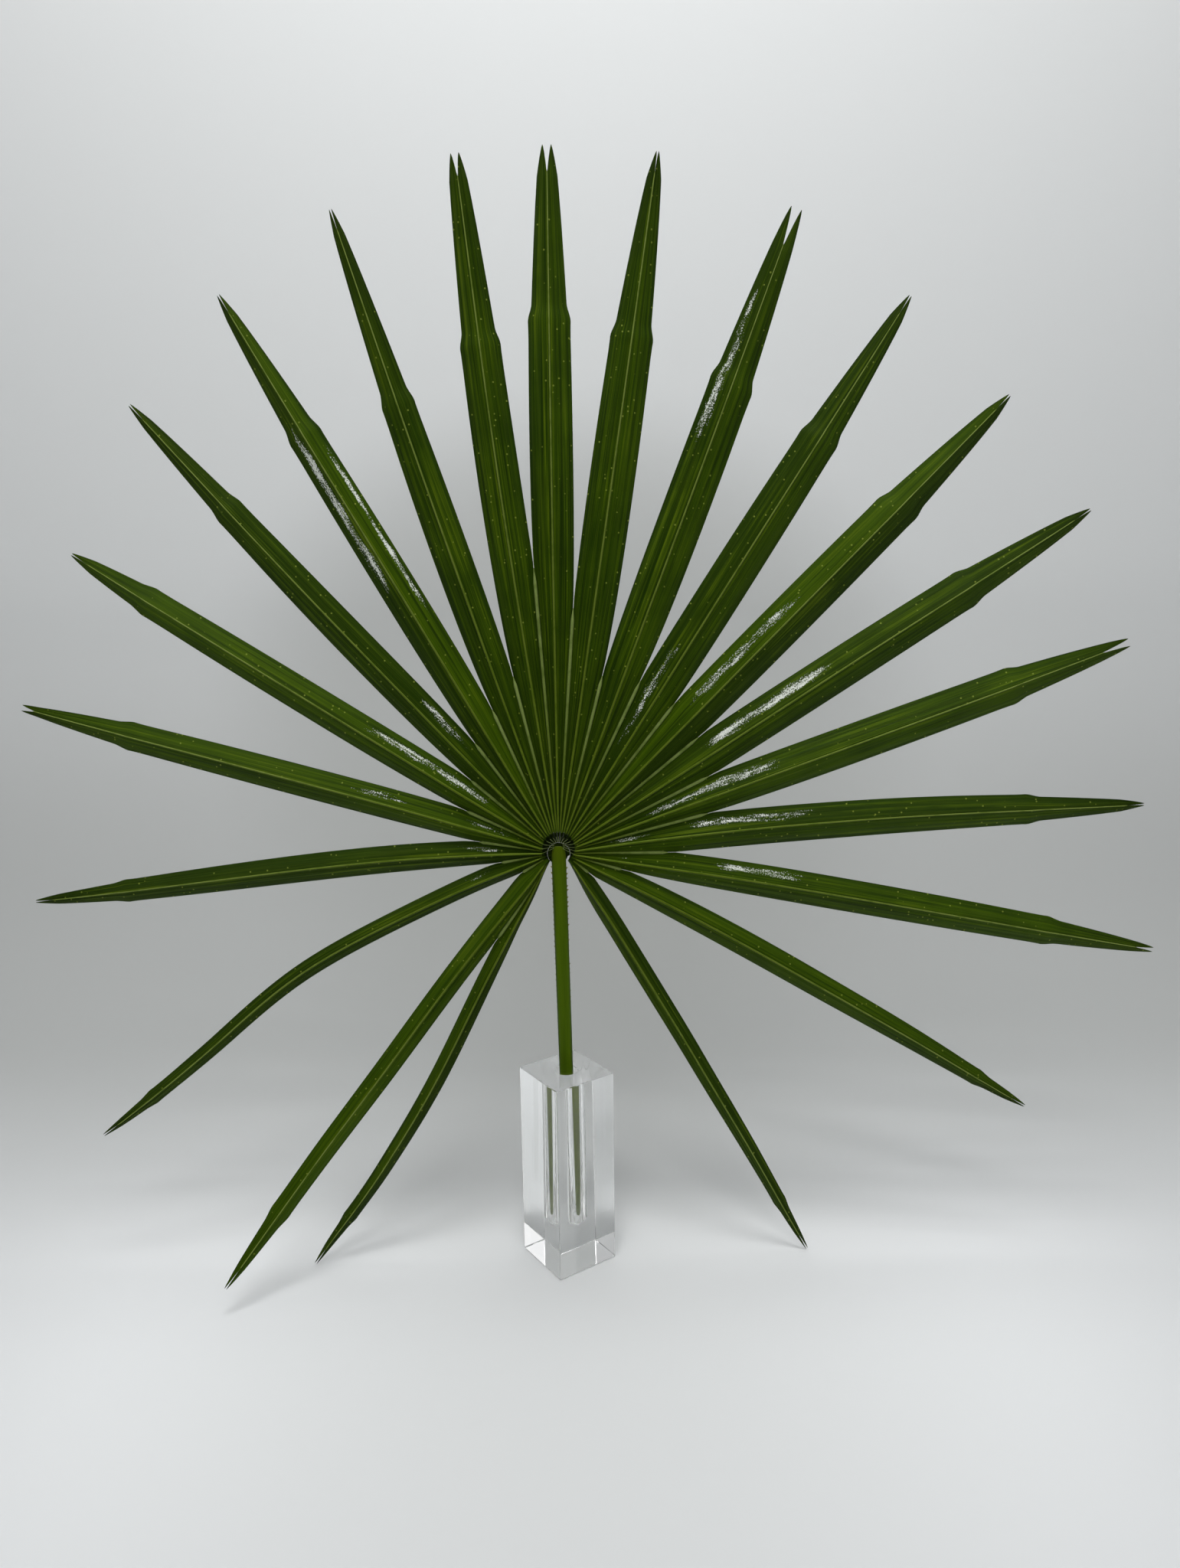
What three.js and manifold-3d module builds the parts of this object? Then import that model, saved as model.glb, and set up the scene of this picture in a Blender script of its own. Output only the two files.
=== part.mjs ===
// Fan palm leaf standing in a drilled block of clear acrylic.
// Millimetres, +Z up, +X right and -Y towards a viewer in front of the leaf.
// The origin is the centre of the block's underside.

import * as THREE from 'three';
import { mergeVertices } from 'three/addons/utils/BufferGeometryUtils.js';
import Module from 'manifold-3d';

// ---- Acrylic block ----
const BLOCK_SIDE = 40;
const BLOCK_HEIGHT = 120;
const BLOCK_TURN = 35;          // degrees about Z, so that an upright edge faces forward
const BLOCK_CHAMFER = 0.5;
const BORE_RADIUS = 6.5;
const BORE_FLOOR = 27;          // height where the bore's straight wall ends
const DRILL_POINT = 31;         // slope of the drill's conical floor, degrees
const BORE_SIDES = 32;

// ---- Leaf stalk (petiole) ----
const MOUTH = { x: 0, y: 1 };                   // stalk centre where it enters the bore
const HUB = { x: -2, y: 0, z: 252 };            // point the leaflets radiate from
const STALK_FOOT = 26.2;                        // height of the cut end inside the bore
const STALK_HALF_WIDTH = { foot: 3.7, mouth: 4.0, neck: 4.15 };
const STALK_HALF_DEPTH = 2.45;
const STALK_SIDES = 16;
const HEAD_RADIUS = 6.1;                        // rounded head that carries the leaflets
const HEAD_HALF_DEPTH = 1.5;
const TEETH = { each_side: 22, from: 138, to: 240, length: 1.1, base: 1.7, thickness: 0.9 };

// ---- Leaflets ----
const ROOT_RADIUS = 6.5;        // where each leaflet starts, measured from the hub
const SEAM_GAP = 0.3;           // clearance between neighbours along a fused seam
const BLADE_THICKNESS = 0.6;
const MIDRIB_THICKNESS = 1.3;
const SEAM_SETBACK = 2.2;       // how far behind the hub plane the seams lie
const FOLD = { root: 55, free: 23, ease: 45 };  // slope of each half, degrees; ease in mm
const SPLAY = { share: 0.75, ease: 8 };         // low leaflets leave the head more sideways
// Notch in each free margin, and the taper beyond it.
const SHOULDER = { drop: 0.87, tip: 0.06, taper: 0.76, swell: 70, step: 5 };
const SPLIT_LENGTH = 13;        // length of the two points at each leaflet's tip
const SPLIT_SPREAD = 1.6;       // distance between them
const WIDTH_EASE = 40;          // distance over which a free margin reaches its own width

// Directions are degrees from +X, counter-clockwise as seen from the front, at even steps
// from the hub to the tip: five of them where a leaflet bends. Reach, width and shoulder are
// millimetres, neck is the share of the width left at the shoulder, and forward is how far
// the tip leans towards -Y. Listed clockwise from the leaflet at the stalk's left side.
const LEAFLETS = [
  { way: [237, 239.9, 241.5, 240.7, 239], reach: 293, width: 11, neck: 0.66, shoulder: 262, forward: 12 },
  { way: [227, 229.4, 230.8, 230.9, 231], reach: 301, width: 14, neck: 0.76, shoulder: 262, forward: 60 },
  { way: [197, 201.5, 204.6, 209.4, 211.6], reach: 319, width: 11, neck: 0.72, shoulder: 286, forward: 8 },
  { way: [178.3, 180.9, 182.9, 184.1, 184.6], reach: 299, width: 17.4, neck: 0.7, shoulder: 252, forward: 3 },
  { way: [162, 163.1, 163.6], reach: 307, width: 19, neck: 0.82, shoulder: 252, forward: 0 },
  { way: [146.6, 146.8, 146.9], reach: 310, width: 20, neck: 0.8, shoulder: 268, forward: -3 },
  { way: [132.2, 132.3, 131.8], reach: 329, width: 20.6, neck: 0.74, shoulder: 262, forward: 2 },
  { way: [119, 119.4, 119.6], reach: 344, width: 22, neck: 0.8, shoulder: 268, forward: -2 },
  { way: [108.2, 108.2, 107.9], reach: 356, width: 22.6, neck: 0.74, shoulder: 262, forward: 0 },
  { way: [97.8, 97.8, 97.1], reach: 366, width: 24.2, neck: 0.84, shoulder: 280, forward: 3 },
  { way: [90, 90, 89.9], reach: 368, width: 24.8, neck: 0.86, shoulder: 290, forward: -2 },
  { way: [81, 81.1, 81.2], reach: 368, width: 26.2, neck: 0.82, shoulder: 284, forward: 0 },
  { way: [69.8, 69.4, 69.4], reach: 359, width: 26, neck: 0.88, shoulder: 274, forward: 2 },
  { way: [58.2, 57.9, 57.6], reach: 349, width: 25, neck: 0.81, shoulder: 270, forward: -3 },
  { way: [46, 45.7, 45.5], reach: 343, width: 25, neck: 0.86, shoulder: 268, forward: 0 },
  { way: [33.6, 33.3, 33], reach: 341, width: 24, neck: 0.87, shoulder: 270, forward: 3 },
  { way: [20.8, 20.2, 20], reach: 335, width: 23.2, neck: 0.88, shoulder: 272, forward: -2 },
  { way: [8.9, 6.1, 4.2], reach: 330, width: 22.6, neck: 0.72, shoulder: 270, forward: 2 },
  { way: [-7.8, -9.5, -10.2], reach: 346, width: 20.2, neck: 0.8, shoulder: 288, forward: 4 },
  { way: [-23.5, -26.6, -28.4, -29.3, -30], reach: 315, width: 16.4, neck: 0.54, shoulder: 286, forward: 5 },
  { way: [-50.5, -56, -58.1, -59, -59.7], reach: 291, width: 11.4, neck: 0.62, shoulder: 260, forward: 3 },
];

// Seams between neighbours in the same order, with a free outer margin first and last:
// direction in degrees, and the distance from the hub where the two leaflets part.
const SEAMS = [
  { way: 242, parts_at: 50 },
  { way: 234.5, parts_at: 66 },
  { way: 209, parts_at: 26 },
  { way: 189, parts_at: 38 },
  { way: 171, parts_at: 50 },
  { way: 154, parts_at: 62 },
  { way: 138.6, parts_at: 69 },
  { way: 125.5, parts_at: 81 },
  { way: 113.2, parts_at: 92 },
  { way: 103, parts_at: 106 },
  { way: 93.8, parts_at: 164 },
  { way: 85.7, parts_at: 142 },
  { way: 75.6, parts_at: 107 },
  { way: 64.4, parts_at: 110 },
  { way: 52.2, parts_at: 110 },
  { way: 39.7, parts_at: 107 },
  { way: 27, parts_at: 100 },
  { way: 14.5, parts_at: 90 },
  { way: -0.5, parts_at: 66 },
  { way: -16, parts_at: 42 },
  { way: -37, parts_at: 24 },
  { way: -60.2, parts_at: 45 },
];

const FUSED_STATIONS = [ROOT_RADIUS, 10, 15, 22, 32, 46, 66, 90, 116, 145, 180, 215];
const TAPER_STATIONS = [0.35, 0.7];     // shares of the way from the shoulder to the split

const radians = (degrees) => THREE.MathUtils.degToRad(degrees);
const degrees = (angle) => THREE.MathUtils.radToDeg(angle);
const ease = (distance, length) => Math.exp(-distance / length);

// ---- Materials ----
const leafGreen = { color: 0x33500d, roughness: 0.35, metalness: 0 };
const stalkGreen = { color: 0x47620f, roughness: 0.45, metalness: 0 };
const clearAcrylic = { color: 0xdfe6e4, roughness: 0.03, metalness: 0, transparent: true, opacity: 0.3 };

function named(name, geometry, finish) {
  const mesh = new THREE.Mesh(geometry, new THREE.MeshStandardMaterial({ name, ...finish }));
  mesh.name = name;
  return mesh;
}

// ---- Solids from rings of points ----

// Closed surface through rings of equal length. Ring points run counter-clockwise as seen
// from beyond the last ring; cap(first ring) and cap(last ring) close the ends.
function loft(rings, lastCap = null) {
  const count = rings[0].length;
  const points = rings.flat();
  const faces = [];
  for (let i = 0; i + 1 < rings.length; i += 1) {
    for (let j = 0; j < count; j += 1) {
      const k = (j + 1) % count;
      const [a, b, c, d] = [i * count + j, i * count + k, (i + 1) * count + k, (i + 1) * count + j];
      faces.push([a, b, c], [a, c, d]);
    }
  }
  for (let j = 1; j + 1 < count; j += 1) {
    faces.push([0, j + 1, j]);
  }
  const last = (rings.length - 1) * count;
  if (lastCap) {
    lastCap(points, faces, last);
  } else {
    for (let j = 1; j + 1 < count; j += 1) {
      faces.push([last, last + j, last + j + 1]);
    }
  }
  const geometry = new THREE.BufferGeometry();
  geometry.setAttribute('position', new THREE.Float32BufferAttribute(points.flat(), 3));
  geometry.setIndex(faces.flat());
  return geometry;
}

// ---- Booleans ----
const wasm = await Module();
wasm.setup();

function solid(geometry) {
  const bare = geometry.clone();
  bare.deleteAttribute('normal');
  bare.deleteAttribute('uv');
  const merged = mergeVertices(bare, 1e-4);
  return new wasm.Manifold(new wasm.Mesh({
    numProp: 3,
    vertProperties: new Float32Array(merged.attributes.position.array),
    triVerts: new Uint32Array(merged.index.array),
  }));
}

function geometryOf(manifold) {
  const mesh = manifold.getMesh();
  const geometry = new THREE.BufferGeometry();
  geometry.setAttribute('position', new THREE.Float32BufferAttribute(mesh.vertProperties, 3));
  geometry.setIndex(Array.from(mesh.triVerts));
  return geometry;
}

// ---- Acrylic block with its blind bore ----
function blockGeometry() {
  const half = BLOCK_SIDE / 2 - BLOCK_CHAMFER;
  const outline = new THREE.Shape([
    new THREE.Vector2(-half, -half),
    new THREE.Vector2(half, -half),
    new THREE.Vector2(half, half),
    new THREE.Vector2(-half, half),
  ]);
  const block = new THREE.ExtrudeGeometry(outline, {
    depth: BLOCK_HEIGHT - 2 * BLOCK_CHAMFER,
    bevelThickness: BLOCK_CHAMFER,
    bevelSize: BLOCK_CHAMFER,
    bevelSegments: 1,
  });
  block.translate(0, 0, BLOCK_CHAMFER);
  block.rotateZ(radians(BLOCK_TURN));

  const above = BLOCK_HEIGHT + 5;
  const pointDepth = BORE_RADIUS * Math.tan(radians(DRILL_POINT));
  const bore = new THREE.LatheGeometry([
    new THREE.Vector2(0, BORE_FLOOR - pointDepth),
    new THREE.Vector2(BORE_RADIUS, BORE_FLOOR),
    new THREE.Vector2(BORE_RADIUS, above),
    new THREE.Vector2(0, above),
  ], BORE_SIDES);
  bore.rotateX(Math.PI / 2);
  return geometryOf(solid(block).subtract(solid(bore)));
}

// ---- Stalk ----
const mix = THREE.MathUtils.lerp;

function stalkCentre(z) {
  const t = (z - BLOCK_HEIGHT) / (HUB.z - BLOCK_HEIGHT);
  return { x: mix(MOUTH.x, HUB.x, t), y: mix(MOUTH.y, HUB.y, Math.max(0, t)) };
}

function stalkHalfWidth(z) {
  const { foot, mouth, neck } = STALK_HALF_WIDTH;
  return z < BLOCK_HEIGHT
    ? mix(foot, mouth, (z - STALK_FOOT) / (BLOCK_HEIGHT - STALK_FOOT))
    : mix(mouth, neck, (z - BLOCK_HEIGHT) / (HUB.z - BLOCK_HEIGHT));
}

function stalkRing(z) {
  const rise = z - HUB.z;
  const disc = Math.sqrt(Math.max(0, HEAD_RADIUS ** 2 - rise ** 2));
  const halfWidth = rise > 0 ? disc : Math.max(disc, stalkHalfWidth(z));
  const fade = THREE.MathUtils.clamp((rise + HEAD_RADIUS) / (2 * HEAD_RADIUS), 0, 1);
  const halfDepth = mix(STALK_HALF_DEPTH, HEAD_HALF_DEPTH, fade);
  const centre = stalkCentre(z);
  return Array.from({ length: STALK_SIDES }, (_, i) => {
    const turn = (2 * Math.PI * i) / STALK_SIDES;
    return [centre.x + halfWidth * Math.cos(turn), centre.y + halfDepth * Math.sin(turn), z];
  });
}

function stalkGeometry() {
  const headHeights = [-0.96, -0.8, -0.4, 0, 0.4, 0.7, 0.9, 0.985].map((s) => HUB.z + s * HEAD_RADIUS);
  const heights = [STALK_FOOT, BLOCK_HEIGHT, 165, 210, 240, ...headHeights];
  let stalk = solid(loft(heights.map(stalkRing)));
  const { each_side, from, to, length, base, thickness } = TEETH;
  for (const side of [-1, 1]) {
    for (let i = 0; i < each_side; i += 1) {
      const z = mix(from, to, (i + (side > 0 ? 0.5 : 0)) / each_side);
      const grown = 0.55 + 0.45 * ((z - from) / (to - from));
      const tooth = new THREE.ConeGeometry(base / 2, 2 * length, 4);
      tooth.scale(1, 1, thickness / base);
      tooth.rotateZ(-side * radians(65));
      tooth.scale(grown, 1, grown);
      const centre = stalkCentre(z);
      tooth.translate(centre.x + side * (stalkHalfWidth(z) - 0.1), centre.y, z);
      stalk = stalk.add(solid(tooth));
    }
  }
  return geometryOf(stalk);
}

// ---- Leaflets ----

// Degrees of sideways turn that a low leaflet or seam has near the head.
function splayed(way, r) {
  const below = way < 0 ? -way : Math.max(0, way - 180);
  const turn = SPLAY.share * below * ease(r, SPLAY.ease);
  return way < 0 ? way + turn : way - turn;
}

function axisWay(leaflet, r) {
  const ways = new THREE.SplineCurve(leaflet.way.map((way, i) => new THREE.Vector2(i, way)));
  return splayed(ways.getPoint(r / leaflet.reach).y, r);
}

// Half width of a leaflet that is free of its neighbours.
function freeHalf(leaflet, r) {
  const full = leaflet.width / 2;
  if (r <= leaflet.shoulder) {
    return full * (1 - (1 - leaflet.neck) * ease(leaflet.shoulder - r, SHOULDER.swell));
  }
  const toTip = (leaflet.reach - r) / (leaflet.reach - leaflet.shoulder);
  return full * mix(SHOULDER.tip, leaflet.neck * SHOULDER.drop, toTip ** SHOULDER.taper);
}

// Half width towards one seam: up to the seam where fused, easing to the free width beyond.
function halfWidth(leaflet, seam, r) {
  const fused = (at) => at * Math.sin(radians(Math.abs(splayed(seam.way, at) - axisWay(leaflet, at))));
  if (r <= seam.parts_at) {
    return fused(r) - SEAM_GAP / 2;
  }
  const surplus = fused(seam.parts_at) - SEAM_GAP / 2 - freeHalf(leaflet, seam.parts_at);
  return freeHalf(leaflet, r) + surplus * ease(r - seam.parts_at, WIDTH_EASE);
}

function place(r, way, y) {
  return [HUB.x + r * Math.cos(radians(way)), y, HUB.z + r * Math.sin(radians(way))];
}

function leafletShape(leaflet, before, after, r) {
  const way = axisWay(leaflet, r);
  const left = halfWidth(leaflet, before, r);
  const right = halfWidth(leaflet, after, r);
  const freeFrom = Math.max(before.parts_at, after.parts_at);
  const lean = Math.max(0, (r - freeFrom) / (leaflet.reach - freeFrom)) ** 2 * leaflet.forward;
  const margin = HUB.y + SEAM_SETBACK * (1 - ease(r, 25)) - lean;
  const slope = mix(FOLD.free, FOLD.root, ease(r, FOLD.ease));
  const ridge = margin - ((left + right) / 2) * Math.tan(radians(slope));
  const wayOf = (offset) => way + degrees(Math.asin(offset / r));
  return { way, left: wayOf(left), right: wayOf(-right), margin, ridge };
}

function leafletRing(leaflet, before, after, r) {
  const { way, left, right, margin, ridge } = leafletShape(leaflet, before, after, r);
  return [
    place(r, left, margin),
    place(r, way, ridge),
    place(r, right, margin),
    place(r, right, margin + BLADE_THICKNESS),
    place(r, way, ridge + MIDRIB_THICKNESS),
    place(r, left, margin + BLADE_THICKNESS),
  ];
}

function leafletGeometry(leaflet, before, after) {
  const { reach, shoulder } = leaflet;
  const split = reach - SPLIT_LENGTH;
  const stations = [
    ...FUSED_STATIONS,
    shoulder - SHOULDER.step,
    shoulder + SHOULDER.step / 2,
    ...TAPER_STATIONS.map((share) => mix(shoulder, split, share)),
    split,
  ];
  const rings = stations.map((r) => leafletRing(leaflet, before, after, r));
  const end = leafletShape(leaflet, before, after, reach - 1);
  const spread = degrees(SPLIT_SPREAD / 2 / reach);

  // Two pointed ends, one on each half of the last ring.
  function forkedTip(points, faces, last) {
    const [frontLeft, frontRidge, frontRight, backRight, backRidge, backLeft] =
      [0, 1, 2, 3, 4, 5].map((i) => last + i);
    const leftPoint = points.push(place(reach, end.way + spread, end.margin)) - 1;
    const rightPoint = points.push(place(reach, end.way - spread, end.margin)) - 1;
    const leftBase = [frontLeft, frontRidge, backRidge, backLeft];
    const rightBase = [frontRidge, frontRight, backRight, backRidge];
    for (const [base, point] of [[leftBase, leftPoint], [rightBase, rightPoint]]) {
      base.forEach((corner, i) => faces.push([corner, base[(i + 1) % base.length], point]));
    }
  }
  return loft(rings, forkedTip);
}

// ---- The whole object ----
const group = new THREE.Group();
group.add(named('vase_block', blockGeometry(), clearAcrylic));
group.add(named('petiole', stalkGeometry(), stalkGreen));
LEAFLETS.forEach((leaflet, i) => {
  const name = `leaflet_${String(i + 1).padStart(2, '0')}`;
  group.add(named(name, leafletGeometry(leaflet, SEAMS[i], SEAMS[i + 1]), leafGreen));
});

export default group;
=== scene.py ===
"""Fan palm leaf standing in a drilled block of clear acrylic.

Everything is in metres in the frame of the CAD model: +Z up, +X to the right and -Y to the
front. The leaf's own shape is worked out in millimetres, about the hub its leaflets share.
"""

import logging
import math
import random
from dataclasses import dataclass
from enum import Enum
from typing import Optional, Sequence, Union

import bpy
from mathutils import Matrix, Vector


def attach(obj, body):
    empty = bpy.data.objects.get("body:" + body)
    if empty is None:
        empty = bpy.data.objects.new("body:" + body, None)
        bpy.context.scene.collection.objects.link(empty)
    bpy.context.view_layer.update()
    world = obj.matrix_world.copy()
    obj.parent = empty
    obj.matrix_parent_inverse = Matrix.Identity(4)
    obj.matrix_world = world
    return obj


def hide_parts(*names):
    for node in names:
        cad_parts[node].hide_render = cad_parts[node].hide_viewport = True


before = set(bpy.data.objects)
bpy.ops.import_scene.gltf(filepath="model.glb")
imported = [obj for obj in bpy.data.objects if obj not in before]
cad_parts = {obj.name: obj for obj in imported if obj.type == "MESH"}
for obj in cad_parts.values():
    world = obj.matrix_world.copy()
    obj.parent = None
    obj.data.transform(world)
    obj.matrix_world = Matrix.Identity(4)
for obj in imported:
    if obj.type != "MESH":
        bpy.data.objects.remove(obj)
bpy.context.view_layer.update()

logging.basicConfig(level=logging.INFO, format="%(message)s")
log = logging.getLogger("fan_palm")

MM = 0.001
ROOT = "root"
HUB = Vector((-2.0, 0.0, 252.0))  # millimetres; the point the leaflets radiate from
EYE = Vector((-2.0, -1.9, 255.4))  # millimetres; middle of the dark hollow the ribs cross
ALONG = "along"  # attribute: share of the way from root to tip
GRAIN = "grain"  # UV map: share across a blade, share of the longest reach
TONE = "tone"  # attribute: one number for each half of a leaflet
GLOSS_AND_GLINT = "gloss_and_glint"  # attribute: how much painted white glint and coat gloss show, from 0 to 1
SHEEN = (0.7, 1.0, 0.25, 1.0)  # the green cast of the light that leaf skin throws back
BLACK = (0.0, 0.0, 0.0, 1.0)
LONGEST_REACH = 400.0  # millimetres; the grain map's full height
SPLAY_SHARE = 0.75  # share of its droop by which a low leaflet is turned up at the head
SPLAY_EASE = 8.0  # millimetres; how fast that turn fades outwards

Input = Union["Value", bpy.types.NodeSocket, float, Sequence[float], str, None]
Colour = tuple[float, float, float, float]
Quad = tuple[int, ...]


class Slot(Enum):
    """The record's material slots."""

    LEAF = "leaf_blade"
    STALK = "leaf_stalk"
    ACRYLIC = "clear_acrylic"


class Side(Enum):
    """The two sides of a leaflet or of the stalk, as seen from the front."""

    LEFT = -1
    RIGHT = 1


# ---- Small sums ----


def mix(a: float, b: float, t: float) -> float:
    """Number at share t of the way from a to b."""
    return a + (b - a) * t


def smooth(low: float, high: float, value: float) -> float:
    """Smooth step from 0 at low to 1 at high."""
    t = min(1.0, max(0.0, (value - low) / (high - low)))
    return t * t * (3 - 2 * t)


def fade(distance: float, length: float) -> float:
    """Exponential fall from 1 at distance 0."""
    return math.exp(-distance / length)


def catmull_rom(values: Sequence[float], t: float) -> float:
    """Value at share t of a smooth curve through evenly spaced values.

    Args:
        values: The values that the curve passes through.
        t: Share of the way from the first value to the last.

    Returns:
        The interpolated value.
    """
    place = (len(values) - 1) * min(1.0, max(0.0, t))
    i = min(int(place), len(values) - 2)
    w = place - i
    a, b = values[max(i - 1, 0)], values[i]
    c, d = values[i + 1], values[min(i + 2, len(values) - 1)]
    rise, fall = (c - a) / 2, (d - b) / 2
    return (
        (2 * b - 2 * c + rise + fall) * w**3
        + (-3 * b + 3 * c - 2 * rise - fall) * w**2
        + rise * w
        + b
    )


# ---- Node trees ----


class Value:
    """A number socket, so that node sums read as Python expressions."""

    def __init__(self, nodes: "Nodes", socket: bpy.types.NodeSocket) -> None:
        """Wraps a socket of a tree that is being filled."""
        self.nodes = nodes
        self.socket = socket

    def _sum(self, operation: str, a: Input, b: Input) -> "Value":
        """Adds a Math node and wraps its result."""
        return self.nodes.value("ShaderNodeMath", {"operation": operation}, {0: a, 1: b})

    def __add__(self, other: Input) -> "Value":
        """Sum."""
        return self._sum("ADD", self, other)

    __radd__ = __add__

    def __sub__(self, other: Input) -> "Value":
        """Difference."""
        return self._sum("SUBTRACT", self, other)

    def __rsub__(self, other: Input) -> "Value":
        """Difference, the other way round."""
        return self._sum("SUBTRACT", other, self)

    def __mul__(self, other: Input) -> "Value":
        """Product."""
        return self._sum("MULTIPLY", self, other)

    __rmul__ = __mul__

    def __truediv__(self, other: Input) -> "Value":
        """Quotient."""
        return self._sum("DIVIDE", self, other)

    def __rtruediv__(self, other: Input) -> "Value":
        """Quotient, the other way round."""
        return self._sum("DIVIDE", other, self)

    def __gt__(self, other: Input) -> "Value":
        """1 where greater, else 0."""
        return self._sum("GREATER_THAN", self, other)

    def size(self) -> "Value":
        """Value without its sign."""
        return self._sum("ABSOLUTE", self, None)

    def wave(self) -> "Value":
        """Sine."""
        return self._sum("SINE", self, None)

    def root(self) -> "Value":
        """Square root."""
        return self._sum("SQRT", self, None)

    def at_least(self, floor: Input) -> "Value":
        """The greater of the value and a floor."""
        return self._sum("MAXIMUM", self, floor)

    def between(self, low: float, high: float) -> "Value":
        """Smooth step from 0 at low to 1 at high.

        Args:
            low: Where the step starts; it may be the greater of the two.
            high: Where the step ends.

        Returns:
            The height of the step.
        """
        settings = {"interpolation_type": "SMOOTHSTEP"}
        sockets = {"Value": self, "From Min": low, "From Max": high}
        return self.nodes.value("ShaderNodeMapRange", settings, sockets)


class Nodes:
    """A node tree being filled, of a material or of a modifier."""

    def __init__(self, tree: bpy.types.NodeTree) -> None:
        """Starts from an empty tree."""
        self.tree = tree
        tree.nodes.clear()

    def add(
        self,
        kind: str,
        settings: Optional[dict[str, object]] = None,
        sockets: Optional[dict[Union[str, int], Input]] = None,
    ) -> bpy.types.Node:
        """Adds a node.

        Args:
            kind: The node's type name.
            settings: Its properties, set first.
            sockets: What each input holds or is linked to, by name or place.

        Returns:
            The new node.
        """
        node = self.tree.nodes.new(kind)
        for name, setting in (settings or {}).items():
            setattr(node, name, setting)
        for key, given in (sockets or {}).items():
            source = given.socket if isinstance(given, Value) else given
            if isinstance(source, bpy.types.NodeSocket):
                self.tree.links.new(source, node.inputs[key])
            elif source is not None:
                node.inputs[key].default_value = source
        return node

    def value(
        self,
        kind: str,
        settings: dict[str, object],
        sockets: dict[Union[str, int], Input],
        out: Union[str, int] = 0,
    ) -> Value:
        """Adds a node and wraps one of its outputs."""
        return Value(self, self.add(kind, settings, sockets).outputs[out])

    def place(self) -> bpy.types.NodeSocket:
        """Place on the object, in metres."""
        return self.add("ShaderNodeTexCoord").outputs["Object"]

    def parts(self, vector: bpy.types.NodeSocket) -> list[Value]:
        """The three numbers of a vector."""
        split = self.add("ShaderNodeSeparateXYZ", {}, {0: vector})
        return [Value(self, socket) for socket in split.outputs]

    def grain(self) -> list[Value]:
        """Shares across and along a piece, from its grain map."""
        return self.parts(self.add("ShaderNodeUVMap", {"uv_map": GRAIN}).outputs[0])[:2]

    def attribute(self, name: str) -> Value:
        """A mesh attribute as a number."""
        return self.value("ShaderNodeAttribute", {"attribute_name": name}, {}, "Fac")

    def vector(self, x: Input, y: Input, z: Input) -> bpy.types.NodeSocket:
        """Three numbers as a vector."""
        return self.add("ShaderNodeCombineXYZ", {}, {0: x, 1: y, 2: z}).outputs[0]

    def noise(self, place: Input, scale: float = 1.0, detail: float = 2.0) -> Value:
        """Noise from 0 to 1 at a place."""
        sockets = {"Vector": place, "Scale": scale, "Detail": detail, "Roughness": 0.55}
        return self.value("ShaderNodeTexNoise", {}, sockets, 0)

    def blend(self, share: Input, a: Input, b: Input) -> bpy.types.NodeSocket:
        """Colour at a share of the way from a to b."""
        settings = {"data_type": "RGBA", "clamp_factor": True}
        return self.add("ShaderNodeMix", settings, {0: share, 6: a, 7: b}).outputs[2]


def colour(red: int, green: int, blue: int) -> Colour:
    """Linear colour of display levels.

    Args:
        red: Red level, from 0 to 255.
        green: Green level.
        blue: Blue level.

    Returns:
        The colour, opaque.
    """

    def linear(level: float) -> float:
        """One channel, from display to linear light."""
        return level / 12.92 if level <= 0.04045 else ((level + 0.055) / 1.055) ** 2.4

    return (linear(red / 255), linear(green / 255), linear(blue / 255), 1.0)


# ---- Finishes ----


def new_material(name: str) -> tuple[bpy.types.Material, Nodes]:
    """Makes an empty material.

    Args:
        name: The material's name.

    Returns:
        The material and its tree.
    """
    material = bpy.data.materials.new(name)
    material.use_nodes = True
    return material, Nodes(material.node_tree)


def surface(nodes: Nodes, sockets: dict[str, Input], height: Optional[Value], depth: float) -> None:
    """Ends a material in a Principled shader.

    Args:
        nodes: The material's tree.
        sockets: What the shader's sockets hold or are linked to.
        height: Relief from 0 to 1, or none for a plain surface.
        depth: Depth of that relief in metres.
    """
    if height is not None:
        relief = {"Strength": 1.0, "Distance": depth, "Height": height}
        sockets = {**sockets, "Normal": nodes.add("ShaderNodeBump", {}, relief).outputs[0]}
    shader = nodes.add("ShaderNodeBsdfPrincipled", {}, sockets)
    nodes.add("ShaderNodeOutputMaterial", {}, {"Surface": shader.outputs[0]})


def in_hollow(nodes: Nodes, edge: float, full: float) -> Value:
    """How deep a place lies in the dark hollow above the stalk, as seen from the front.

    Args:
        nodes: The material's tree.
        edge: Distance from the hollow's middle where it starts, in millimetres.
        full: Distance where it is fully dark, in millimetres.

    Returns:
        Share from 0 outside to 1 inside.
    """
    x, _, z = nodes.parts(nodes.place())
    across, up = x - EYE.x * MM, z - EYE.z * MM
    return (across * across + up * up).root().between(edge * MM, full * MM)


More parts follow.
